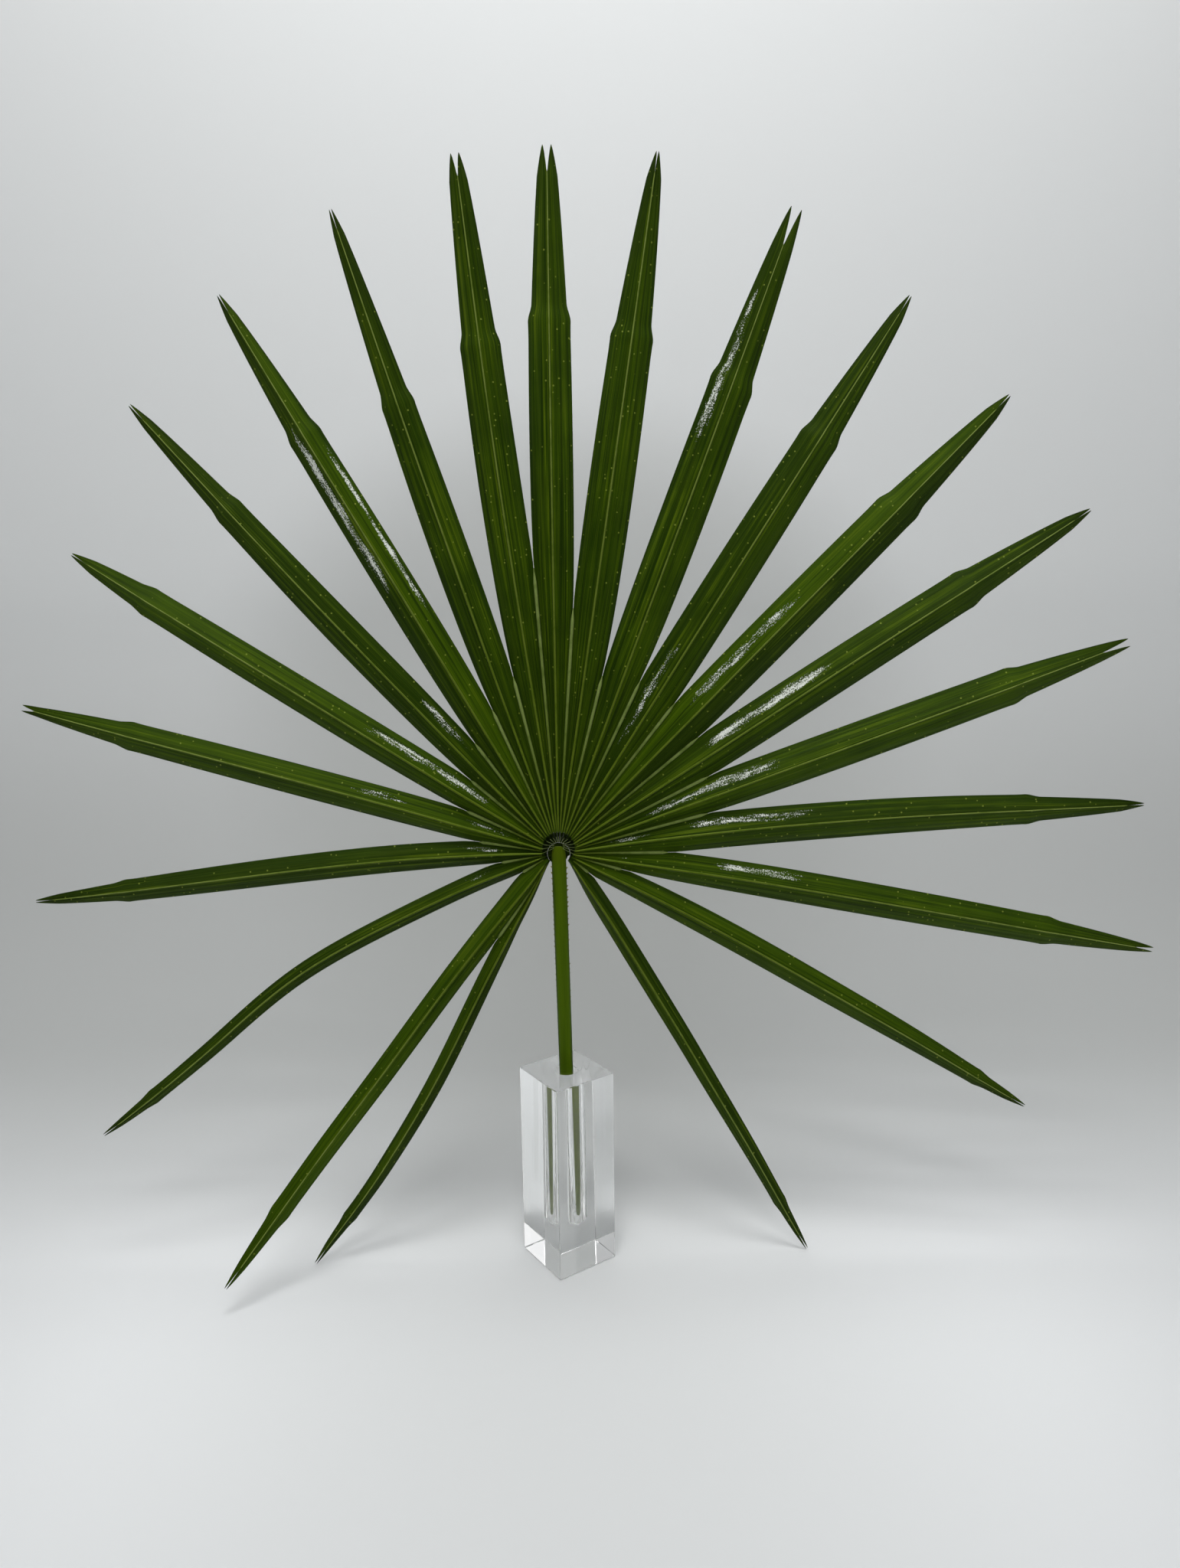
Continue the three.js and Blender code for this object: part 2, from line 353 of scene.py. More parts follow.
@dataclass(frozen=True)
class BladeFinish:
    """Leaf blade: lengthwise green strips, fine veins, pale specks, painted shade in the hollow at
    the head, and a glossy coat with painted white glints.
    """

    shade: Colour = colour(21, 43, 0)
    green: Colour = colour(49, 74, 0)
    olive: Colour = colour(96, 114, 18)
    deep: Colour = colour(18, 36, 0)
    speck: Colour = colour(148, 162, 66)
    # painted shade: colour of the blade inside the hollow round the eye
    hollow: Colour = colour(8, 18, 0)
    # painted highlight: colour of the white glints
    painted_glint: Colour = colour(232, 236, 228)
    rough: float = 0.4
    shine: float = 0.2
    veins: float = 58.0  # across a whole blade
    speck_scale: float = 330.0
    speckless: float = 0.66  # share of the places that stay without a speck
    glint_scale: float = 1500.0
    relief: float = 0.00022  # metres

    def material(self) -> bpy.types.Material:
        """Builds the material.

        Returns:
            The material.
        """
        material, nodes = new_material("leaf_blade")
        across, along = nodes.grain()
        tone = nodes.attribute(TONE)
        place = nodes.place()
        edge = (across * 2 - 1).size()

        strips = nodes.noise(nodes.vector(across * 15, along * 3.2, tone * 40), 1.0, 3.0)
        fine = nodes.noise(nodes.vector(across * 46, along * 6, tone * 70))
        patches = nodes.noise(place, 34.0)
        lines = (across * (self.veins * 2 * math.pi) + fine * 2.4).wave() * 0.5 + 0.5

        light = strips * 0.62 + fine * 0.2 + patches * 0.3 + (tone - 0.5) * 0.26
        skin = nodes.blend(light.between(0.42, 0.74), self.shade, self.green)
        inner = 1 - edge.between(0.68, 0.9)
        warm = strips.between(0.52, 0.72) * inner * patches.between(0.3, 0.62)
        skin = nodes.blend(warm * 0.55, skin, self.olive)
        skin = nodes.blend(lines * fine.between(0.3, 0.7) * 0.34, skin, self.olive)
        skin = nodes.blend(strips.between(0.46, 0.3) * 0.6, skin, self.deep)
        skin = nodes.blend(edge.between(0.72, 0.97) * 0.42, skin, self.shade)

        grid = {"Vector": place, "Scale": self.speck_scale}
        dots = nodes.add("ShaderNodeTexVoronoi", {}, grid)
        pick = nodes.value("ShaderNodeSeparateColor", {}, {0: dots.outputs["Color"]})
        spots = Value(nodes, dots.outputs["Distance"]).between(0.2, 0.1)
        spots = spots * (pick > self.speckless)
        skin = nodes.blend(spots * 0.6, skin, self.speck)
        # painted shade: near black inside the hollow round the eye, where the deep pleats lie in
        # shade
        dark = in_hollow(nodes, 9.6, 8.4)
        skin = nodes.blend(dark, skin, self.hollow)

        # painted highlight: near-white glint flecks along the runs that tilt up to the lamps, under
        # a glossy coat there
        streak = nodes.noise(nodes.vector(across * 13, along * 26, tone * 90))
        glint_flecks = nodes.noise(place, self.glint_scale, 4.0)
        gloss_and_glint = nodes.attribute(GLOSS_AND_GLINT) * 0.7 + streak * 0.9 + glint_flecks * 1.1
        gloss_and_glint = gloss_and_glint.between(1.62, 1.88)
        skin = nodes.blend(gloss_and_glint, skin, self.painted_glint)

        sockets = {
            "Base Color": skin,
            "Roughness": fine * 0.22 + self.rough - lines * 0.06 + dark * 0.4,
            "Specular IOR Level": self.shine,
            "Specular Tint": SHEEN,
            "Coat Weight": gloss_and_glint,
            "Coat Roughness": 0.15,
            "Coat IOR": 1.5,
        }
        surface(nodes, sockets, lines * 0.45 + fine * 0.8 + spots * 0.3, self.relief)
        return material


@dataclass(frozen=True)
class RibFinish:
    """Ribs: smooth mid green at the root, paler towards a blunt end, with fine streaks."""

    name: str
    root: Colour
    end: Colour
    streak: Colour = colour(60, 82, 4)
    thread: Colour = colour(112, 124, 78)
    rough: float = 0.33
    shine: float = 0.25
    relief: float = 0.00012  # metres

    def material(self) -> bpy.types.Material:
        """Builds the material.

        Returns:
            The material.
        """
        material, nodes = new_material(self.name)
        along = nodes.attribute(ALONG)
        place = nodes.place()
        cloud = nodes.noise(place, 150.0)
        grains = nodes.noise(place, 900.0)
        skin = nodes.blend(along.between(0.1, 0.97), self.root, self.end)
        skin = nodes.blend(cloud.between(0.45, 0.72) * 0.5, skin, self.streak)
        skin = nodes.blend(in_hollow(nodes, 9.6, 8.6), skin, self.thread)
        sockets = {
            "Base Color": skin,
            "Roughness": grains * 0.2 + self.rough,
            "Specular IOR Level": self.shine,
            "Specular Tint": SHEEN,
        }
        surface(nodes, sockets, grains + cloud, self.relief)
        return material


@dataclass(frozen=True)
class StalkFinish:
    """Leaf stalk: olive green with lengthwise fibres, darker flanks and a browner neck."""

    skin: Colour = colour(66, 90, 0)
    dark: Colour = colour(36, 54, 0)
    fibre: Colour = colour(90, 108, 10)
    neck: Colour = colour(66, 74, 6)
    cut: Colour = colour(120, 118, 70)
    held: Colour = colour(120, 132, 58)  # inside the block, paler for the light lost there
    rough: float = 0.3
    shine: float = 0.2
    relief: float = 0.0002  # metres

    def material(self) -> bpy.types.Material:
        """Builds the material.

        Returns:
            The material.
        """
        material, nodes = new_material("leaf_stalk")
        around, along = nodes.grain()
        fibres = nodes.noise(nodes.vector(around * 60, along * 5, 0.0), 1.0, 3.0)
        broad = nodes.noise(nodes.vector(around * 9, along * 2.2, 3.0))
        turn = around * (2 * math.pi)
        flank = (turn + math.pi / 2).wave().size().between(0.75, 1.0)
        skin = nodes.blend(broad.between(0.4, 0.7) * 0.55, self.skin, self.dark)
        skin = nodes.blend(fibres.between(0.52, 0.75) * 0.35, skin, self.fibre)
        skin = nodes.blend(flank * 0.75, skin, self.dark)
        skin = nodes.blend(along.between(0.93, 0.985) * 0.5, skin, self.neck)
        skin = nodes.blend(along.between(0.405, 0.385) * 0.8, skin, self.held)
        skin = nodes.blend(along.between(0.004, 0.0), skin, self.cut)
        sockets = {
            "Base Color": skin,
            "Roughness": fibres * 0.25 + self.rough,
            "Specular IOR Level": self.shine,
            "Specular Tint": SHEEN,
        }
        surface(nodes, sockets, fibres, self.relief)
        return material


@dataclass(frozen=True)
class HollowFinish:
    """The fold of tissue behind the stalk's head, painted near black for the shade in its deep
    pleats.
    """

    fold_shade: Colour = colour(10, 20, 0)
    lip: Colour = colour(34, 46, 4)
    rough: float = 0.5
    shine: float = 0.1
    relief: float = 0.0003  # metres

    def material(self) -> bpy.types.Material:
        """Builds the material.

        Returns:
            The material.
        """
        material, nodes = new_material("leaf_head")
        # painted shade: the whole dish is near black, flecked with a dark green
        grains = nodes.noise(nodes.place(), 420.0, 3.0)
        sockets = {
            "Base Color": nodes.blend(grains.between(0.5, 0.8), self.fold_shade, self.lip),
            "Roughness": grains * 0.2 + self.rough,
            "Specular IOR Level": self.shine,
            "Specular Tint": SHEEN,
        }
        surface(nodes, sockets, grains, self.relief)
        return material


@dataclass(frozen=True)
class AcrylicFinish:
    """Clear cast acrylic with a very faint ripple left by polishing."""

    tint: Colour = (0.985, 0.992, 0.99, 1.0)
    bend: float = 1.49
    haze: float = 0.03
    ripple: float = 0.000002  # metres

    def material(self) -> bpy.types.Material:
        """Builds the material.

        Returns:
            The material.
        """
        material, nodes = new_material("clear_acrylic")
        place = nodes.place()
        ripple = nodes.noise(place, 40.0, 1.0)
        sockets = {
            "Base Color": self.tint,
            "Roughness": nodes.noise(place, 700.0).between(0.66, 0.8) * self.haze,
            "IOR": self.bend,
            "Transmission Weight": 1.0,
        }
        surface(nodes, sockets, ripple, self.ripple)
        return material


@dataclass(frozen=True)
class PaperFinish:
    """Pale matt paper with painted shade low on the wall, a painted leaf shadow on it, painted
    light round the block, a painted glow under the block, and clear from behind.
    """

    floor: Colour = colour(212, 214, 215)
    # painted light: colour of the floor round the block
    near: Colour = colour(234, 236, 237)
    # painted shade: colour of the band where the floor turns up into the wall
    shade: Colour = colour(178, 180, 179)
    wall: Colour = colour(218, 220, 220)
    # painted shadow: colour of the leaf's shadow on the wall
    leaf_shadow: Colour = colour(160, 162, 159)
    # painted light: glow of the paper under the block
    glow: Colour = colour(98, 99, 98)
    rough: float = 0.9
    leaf_shadow_height: float = 0.26  # metres, of the middle of the painted shadow on the wall
    leaf_shadow_reach: tuple[float, float] = (0.42, 0.34)  # metres, to its side and to its top
    edge: float = 0.001  # metres, over which the glow under the block fades

    def _under_block(self, nodes: Nodes, x: Value, y: Value) -> Value:
        """Where the block stands on the paper.

        Args:
            nodes: The material's tree; not used.
            x: Place to the right.
            y: Place to the back.

        Returns:
            1 under the block, 0 elsewhere.
        """
        turn = math.radians(AcrylicBlock.turn)
        reach = AcrylicBlock.side / 2 * MM
        along = (x * math.cos(turn) + y * math.sin(turn)).size()
        aside = (y * math.cos(turn) - x * math.sin(turn)).size()
        return along.between(reach, reach - self.edge) * aside.between(reach, reach - self.edge)

    def material(self) -> bpy.types.Material:
        """Builds the material.

        Returns:
            The material.
        """
        material, nodes = new_material("backdrop_paper")
        x, y, z = nodes.parts(nodes.place())
        # painted light: the floor is lighter round the block, making up for the shade the leaf
        # casts there
        skin = nodes.blend((x * x + y * y).between(0.2, 0.01), self.floor, self.near)
        # painted shade: darker towards the back of the floor, lighter again up the wall
        skin = nodes.blend(y.between(-0.1, 0.34), skin, self.shade)
        skin = nodes.blend(z.between(0.06, 0.42), skin, self.wall)
        # painted shadow: a soft dark patch on the wall behind the leaf, standing for its wide
        # shadow
        across, up = x / self.leaf_shadow_reach[0], (z - self.leaf_shadow_height) / self.leaf_shadow_reach[1]
        shadow_share = (across * across + up * up).between(1.0, 0.2) * 0.5
        skin = nodes.blend(shadow_share, skin, self.leaf_shadow)
        sockets = {
            "Base Color": skin,
            "Roughness": self.rough,
            # painted light: the paper under the block glows, standing for lamp light that comes
            # through the acrylic
            "Emission Color": nodes.blend(self._under_block(nodes, x, y), BLACK, self.glow),
            "Emission Strength": 1.0,
        }
        paper = nodes.add("ShaderNodeBsdfPrincipled", {}, sockets)
        clear = nodes.add("ShaderNodeBsdfTransparent")
        behind = nodes.add("ShaderNodeNewGeometry").outputs["Backfacing"]
        shares = {0: behind, 1: paper.outputs[0], 2: clear.outputs[0]}
        shader = nodes.add("ShaderNodeMixShader", {}, shares)
        nodes.add("ShaderNodeOutputMaterial", {}, {"Surface": shader.outputs[0]})
        return material


# ---- Meshes and pieces ----


def closed_sheet(
    front: Sequence[Vector], faces: Sequence[Quad], back: Sequence[Vector]
) -> tuple[list[Vector], list[Quad]]:
    """Closes a sheet with its back and a wall round its rim.

    Args:
        front: Points of the front surface.
        faces: Its faces, counter-clockwise from outside.
        back: The point behind each front point.

    Returns:
        All points and faces of the closed shell.
    """
    count = len(front)
    edges = {(a, b) for face in faces for a, b in zip(face, face[1:] + face[:1])}
    shell = list(faces)
    shell += [tuple(i + count for i in reversed(face)) for face in faces]
    shell += [(b, a, a + count, b + count) for a, b in sorted(edges) if (b, a) not in edges]
    return [*front, *back], shell


def ring_faces(rings: int, count: int) -> list[Quad]:
    """Faces of a closed skin through rings of points, with a flat cap at each end.

    Args:
        rings: How many rings there are, from the first cap to the last.
        count: How many points each ring has.

    Returns:
        The faces, from places in the list of all the rings' points.
    """
    faces: list[Quad] = []
    for i in range(rings - 1):
        low, high = i * count, (i + 1) * count
        for j in range(count):
            k = (j + 1) % count
            faces.append((low + j, low + k, high + k, high + j))
    last = (rings - 1) * count
    return faces + [tuple(reversed(range(count))), tuple(range(last, last + count))]


def mesh_of(
    name: str, points: Sequence[Vector], faces: Sequence[Quad], crease: float = 40.0
) -> bpy.types.Mesh:
    """Makes a smooth mesh, from points in millimetres, that keeps its sharp corners.

    Args:
        name: The mesh's name.
        points: Its points, in millimetres.
        faces: Its faces, counter-clockwise from outside.
        crease: Angle in degrees past which an edge stays sharp.

    Returns:
        The mesh, in metres.
    """
    mesh = bpy.data.meshes.new(name)
    mesh.from_pydata([p * MM for p in points], [], faces)
    mesh.shade_smooth()
    mesh.set_sharp_from_angle(angle=math.radians(crease))
    mesh.validate()
    return mesh


def map_grain(mesh: bpy.types.Mesh, shares: Sequence[tuple[float, float]]) -> None:
    """Gives a mesh its grain map.

    Args:
        mesh: The mesh.
        shares: Share across and share along, for each point.
    """
    layer = mesh.uv_layers.new(name=GRAIN)
    for loop in mesh.loops:
        layer.data[loop.index].uv = shares[loop.vertex_index]


def linked(name: str, mesh: bpy.types.Mesh) -> bpy.types.Object:
    """Puts a mesh in the scene.

    Args:
        name: The object's name.
        mesh: Its mesh.

    Returns:
        The object.
    """
    piece = bpy.data.objects.new(name, mesh)
    bpy.context.scene.collection.objects.link(piece)
    return piece


def join_frame(piece: bpy.types.Object, stands_for: Sequence[str] = ()) -> None:
    """Puts a finished piece on the root body.

    Args:
        piece: The piece.
        stands_for: The CAD nodes it is shown in place of.
    """
    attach(piece, ROOT)
    if stands_for:
        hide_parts(*stands_for)
    log.info("%s: %d faces", piece.name, len(piece.data.polygons))


def grow(
    name: str, host: bpy.types.Mesh, tree: bpy.types.NodeTree, given: dict[str, object]
) -> bpy.types.Object:
    """Runs a Geometry Nodes tree on a mesh and keeps the result as a plain mesh.

    Args:
        name: The finished piece's name.
        host: The mesh the tree starts from.
        tree: The tree.
        given: What each of the tree's inputs is set to, by name.

    Returns:
        The finished piece.
    """
    piece = linked(name, host)
    modifier = piece.modifiers.new("grow", "NODES")
    modifier.node_group = tree
    for item in tree.interface.items_tree:
        if item.in_out == "INPUT" and item.name in given:
            modifier[item.identifier] = given[item.name]
    evaluated = piece.evaluated_get(bpy.context.evaluated_depsgraph_get())
    mesh = bpy.data.meshes.new_from_object(evaluated)
    piece.modifiers.clear()
    piece.data = mesh
    bpy.data.meshes.remove(host)
    mesh.name = name
    return piece


def modifier_tree(name: str, inputs: dict[str, str]) -> tuple[Nodes, bpy.types.Node]:
    """Starts a Geometry Nodes tree.

    Args:
        name: The tree's name.
        inputs: Socket type of each input after the geometry, by name.

    Returns:
        The tree and its group input node.
    """
    tree = bpy.data.node_groups.new(name, "GeometryNodeTree")
    tree.interface.new_socket("Geometry", in_out="INPUT", socket_type="NodeSocketGeometry")
    tree.interface.new_socket("Geometry", in_out="OUTPUT", socket_type="NodeSocketGeometry")
    for label, kind in inputs.items():
        tree.interface.new_socket(label, in_out="INPUT", socket_type=kind)
    nodes = Nodes(tree)
    return nodes, nodes.add("NodeGroupInput")


def end_tree(nodes: Nodes, shape: bpy.types.NodeSocket, material: bpy.types.NodeSocket) -> None:
    """Ends a tree: real geometry, smooth, with its material.

    Args:
        nodes: The tree.
        shape: The geometry so far.
        material: The material it gets.
    """
    real = nodes.add("GeometryNodeRealizeInstances", {}, {"Geometry": shape})
    smoothed = nodes.add("GeometryNodeSetShadeSmooth", {}, {"Geometry": real.outputs[0]})
    sockets = {"Geometry": smoothed.outputs[0], "Material": material}
    dressed = nodes.add("GeometryNodeSetMaterial", {}, sockets)
    nodes.add("NodeGroupOutput", {}, {"Geometry": dressed.outputs[0]})


def tree_values(nodes: Nodes, given: bpy.types.Node) -> tuple[dict[str, Value], Value]:
    """Values that a tree works with.

    Args:
        nodes: The tree.
        given: Its group input node.

    Returns:
        The tree's inputs by name, and each point's share of the way along.
    """
    sizes = {name: Value(nodes, given.outputs[name]) for name in given.outputs.keys() if name}
    settings = {"data_type": "FLOAT"}
    return sizes, nodes.value("GeometryNodeInputNamedAttribute", settings, {"Name": ALONG})


def rib_tree() -> bpy.types.NodeTree:
    """Tree that sweeps a round rib along a line of points.

    Returns:
        The tree. Its points carry their share of the way along as an attribute.
    """
    nodes, given = modifier_tree(
        "rib",
        {
            "Thread Radius": "NodeSocketFloat",
            "Thread Share": "NodeSocketFloat",
            "Root Radius": "NodeSocketFloat",
            "Waist Radius": "NodeSocketFloat",
            "End Radius": "NodeSocketFloat",
            "Waist": "NodeSocketFloat",
            "Blunt Share": "NodeSocketFloat",
            "Sides": "NodeSocketInt",
            "Material": "NodeSocketMaterial",
        },
    )
    sizes, along = tree_values(nodes, given)
    root, waist, end = sizes["Root Radius"], sizes["Waist Radius"], sizes["End Radius"]
    near = (along / sizes["Waist"]).between(0.0, 1.0)
    far = ((along - sizes["Waist"]) / (1 - sizes["Waist"])).at_least(0.0)
    radius = root + (waist - root) * near + (end - waist) * far
    thread, rooted = sizes["Thread Radius"], along > sizes["Thread Share"]
    radius = thread + (radius - thread) * rooted
    cap = ((along - 1) / sizes["Blunt Share"] + 1).at_least(0.0)
    radius = radius * (1 - cap * cap * 0.97).at_least(0.0).root()
    line = nodes.add("GeometryNodeMeshToCurve", {}, {"Mesh": given.outputs["Geometry"]})
    sockets = {"Resolution": sizes["Sides"], "Radius": 1.0}
    ring = nodes.add("GeometryNodeCurvePrimitiveCircle", {}, sockets)
    sockets = {
        "Curve": line.outputs[0],
        "Profile Curve": ring.outputs[0],
        "Scale": radius,
        "Fill Caps": True,
    }
    swept = nodes.add("GeometryNodeCurveToMesh", {}, sockets)
    end_tree(nodes, swept.outputs[0], given.outputs["Material"])
    return nodes.tree


def teeth_tree() -> bpy.types.NodeTree:
    """Tree that sets small hooked teeth along one edge of the stalk.

    Returns:
        The tree. Its points are the places of the teeth, and grow towards the last.
    """
    nodes, given = modifier_tree(
        "teeth",
        {
            "Tilt": "NodeSocketFloat",
            "Tilt Spread": "NodeSocketFloat",
            "Length": "NodeSocketFloat",
            "Base Radius": "NodeSocketFloat",
            "Thickness": "NodeSocketFloat",
            "Tip Radius": "NodeSocketFloat",
            "Smallest": "NodeSocketFloat",
            "Seed": "NodeSocketInt",
            "Material": "NodeSocketMaterial",
        },
    )
    sizes, along = tree_values(nodes, given)
    chance = {"data_type": "FLOAT"}
    seeds = sizes["Seed"], sizes["Seed"] + 7
    lean = nodes.value("FunctionNodeRandomValue", chance, {2: -1.0, 3: 1.0, "Seed": seeds[0]}, 1)
    grown = nodes.value("FunctionNodeRandomValue", chance, {2: 0.75, 3: 1.15, "Seed": seeds[1]}, 1)
    tooth = nodes.add(
        "GeometryNodeMeshCone",
        {"fill_type": "NGON"},
        {
            "Vertices": 6,
            "Side Segments": 2,
            "Radius Bottom": sizes["Base Radius"],
            "Radius Top": sizes["Tip Radius"],
            "Depth": sizes["Length"],
        },
    )
    flat = nodes.add(
        "GeometryNodeTransform",
        {},
        {"Geometry": tooth.outputs[0], "Scale": nodes.vector(1.0, sizes["Thickness"], 1.0)},
    )
    scale = grown * (sizes["Smallest"] + (1 - sizes["Smallest"]) * along)
    turn = nodes.vector(0.0, sizes["Tilt"] + lean * sizes["Tilt Spread"], 0.0)
    placed = nodes.add(
        "GeometryNodeInstanceOnPoints",
        {},
        {
            "Points": given.outputs["Geometry"],
            "Instance": flat.outputs[0],
            "Rotation": turn,
            "Scale": nodes.vector(scale, scale, scale),
        },
    )
    end_tree(nodes, placed.outputs[0], given.outputs["Material"])
    return nodes.tree


def line_mesh(name: str, points: Sequence[Vector]) -> bpy.types.Mesh:
    """Makes a line of points that carry their share of the way along.

    Args:
        name: The mesh's name.
        points: The points, in millimetres.

    Returns:
        The mesh, in metres, with edges only.
    """
    mesh = bpy.data.meshes.new(name + "_line")
    mesh.from_pydata([p * MM for p in points], [(i, i + 1) for i in range(len(points) - 1)], [])
    run = [0.0]
    for a, b in zip(points, points[1:]):
        run.append(run[-1] + (b - a).length)
    layer = mesh.attributes.new(ALONG, "FLOAT", "POINT")
    layer.data.foreach_set("value", [reached / run[-1] for reached in run])
    return mesh


# ---- The leaf ----


@dataclass(frozen=True)
class Leaflet:
    """One leaflet's lie. Lengths are millimetres and directions are degrees.

    way: directions at even steps from the hub to the tip, counter-clockwise from +X.
    neck: share of the width left at the shoulder. forward: how far the tip leans to the front.
    uneven: how much farther out the right shoulder is than the left one. blunt: share of the
    width left at the tip. fork: width of the notch in the tip. split: depth of that notch.
    """

    way: tuple[float, ...]
    reach: float
    width: float
    neck: float
    shoulder: float
    forward: float
    uneven: float = 0.0
    blunt: float = 0.13
    fork: float = 1.2
    split: float = 13.0


@dataclass(frozen=True)
class Seam:
    """Where two neighbours are fused: a direction, and the distance at which they part."""

    way: float
    parts_at: float


LEAFLETS = (
    Leaflet((237, 239.9, 241.5, 240.7, 239), 293, 11, 0.66, 262, 12),
    Leaflet((227, 229.4, 230.8, 230.9, 231), 301, 14, 0.76, 262, 60),
    Leaflet((197, 201.5, 204.6, 209.4, 211.6), 319, 11, 0.72, 286, 8),
    Leaflet((178.3, 180.9, 182.9, 184.1, 184.6), 299, 17.4, 0.7, 252, 3),
    Leaflet((162, 163.1, 163.6), 307, 19, 0.82, 252, 0, fork=3.4, split=9),
    Leaflet((146.6, 146.8, 146.9), 310, 20, 0.8, 268, -3),
    Leaflet((132.2, 132.3, 131.8), 329, 20.6, 0.74, 262, 2),
    Leaflet((119, 119.4, 119.6), 344, 22, 0.8, 268, -2),
    Leaflet((108.2, 108.2, 107.9), 356, 22.6, 0.74, 262, 0),
    Leaflet((97.8, 97.8, 97.1), 366, 24.2, 0.84, 280, 3, blunt=0.26, fork=4.0),
    Leaflet((90, 90, 89.9), 368, 24.8, 0.86, 290, -2, blunt=0.28, fork=4.4, split=15),
    Leaflet((81, 81.1, 81.2), 368, 26.2, 0.82, 284, 0),
    Leaflet((69.8, 69.4, 69.4), 359, 26, 0.88, 274, 2, -3, blunt=0.25, fork=5.6, split=21),
    Leaflet((58.2, 57.9, 57.6), 349, 25, 0.81, 270, -3, 2),
    Leaflet((46, 45.7, 45.5), 343, 25, 0.86, 268, 0, 7),
    Leaflet((33.6, 33.3, 33), 341, 24, 0.87, 270, 3),
    Leaflet((20.8, 20.2, 20), 335, 23.2, 0.88, 272, -2, blunt=0.18, fork=4.4, split=18),
    Leaflet((8.9, 6.1, 4.2), 330, 22.6, 0.72, 270, 2),
    Leaflet((-7.8, -9.5, -10.2), 346, 20.2, 0.8, 288, 4, fork=2.6),
    Leaflet((-23.5, -26.6, -28.4, -29.3, -30), 315, 16.4, 0.54, 286, 5),
    Leaflet((-50.5, -56, -58.1, -59, -59.7), 291, 11.4, 0.62, 260, 3),
)

SEAMS = (
    Seam(242, 50),
    Seam(234.5, 66),
    Seam(209, 26),
    Seam(189, 38),
    Seam(171, 50),
    Seam(154, 62),
    Seam(138.6, 69),
    Seam(125.5, 81),
    Seam(113.2, 92),
    Seam(103, 106),
    Seam(93.8, 164),
    Seam(85.7, 142),
    Seam(75.6, 107),
    Seam(64.4, 110),
    Seam(52.2, 110),
    Seam(39.7, 107),
    Seam(27, 100),
    Seam(14.5, 90),
    Seam(-0.5, 66),
    Seam(-16, 42),
    Seam(-37, 24),
    Seam(-60.2, 45),
)


@dataclass(frozen=True)
class GlintRun:
    """A run of painted white glint and coat gloss: where it starts and ends, its place and half
    width across, its thickness.

    start and end are millimetres from the hub. place is from -1 to 1, as across a blade.
    """

    start: float
    end: float
    place: float
    thickness: float
    width: float = 0.36


# Where the blade is painted with white glints, on the halves that tilt up to the lamps; the coat's
# gloss follows the same runs.
GLINT_RUNS = {
    3: (GlintRun(34, 60, 0.5, 0.93),),
    4: (GlintRun(30, 62, 0.5, 0.97),),
    5: (GlintRun(26, 58, 0.5, 1.0), GlintRun(90, 126, 0.5, 1.0)),
    6: (GlintRun(46, 134, 0.5, 1.06),),
    7: (GlintRun(80, 122, 0.5, 1.02),),
    8: (GlintRun(170, 272, -0.42, 1.16), GlintRun(150, 262, 0.72, 1.08, 0.22)),
    13: (GlintRun(236, 322, -0.58, 1.05),),
    14: (GlintRun(70, 140, -0.5, 0.92),),
    15: (GlintRun(112, 198, -0.5, 1.0),),
    16: (GlintRun(100, 188, -0.5, 1.06),),
    17: (GlintRun(52, 140, -0.5, 1.06),),
    18: (GlintRun(26, 56, -0.5, 1.1), GlintRun(72, 150, -0.55, 1.05)),
    19: (GlintRun(30, 48, -0.5, 1.0), GlintRun(86, 146, -0.6, 1.05)),
}


def splayed(way: float, r: float) -> float:
    """Direction of a leaflet or seam near the head, which low ones leave more sideways.

    Args:
        way: Its direction farther out, in degrees.
        r: Distance from the hub, in millimetres.

    Returns:
        The direction at that distance, in degrees.
    """
    below = -way if way < 0 else max(0.0, way - 180)
    turn = SPLAY_SHARE * below * fade(r, SPLAY_EASE)
    return way + turn if way < 0 else way - turn


def about_hub(r: float, way: float, y: float) -> Vector:
    """Point at a distance and direction from the hub, in millimetres."""
    angle = math.radians(way)
    return Vector((HUB.x + r * math.cos(angle), y, HUB.z + r * math.sin(angle)))


@dataclass
class Section:
    """A leaflet's cross-section at one distance from the hub, in millimetres."""

    way: float
    left: float
    right: float
    margin: float
    ridge: float


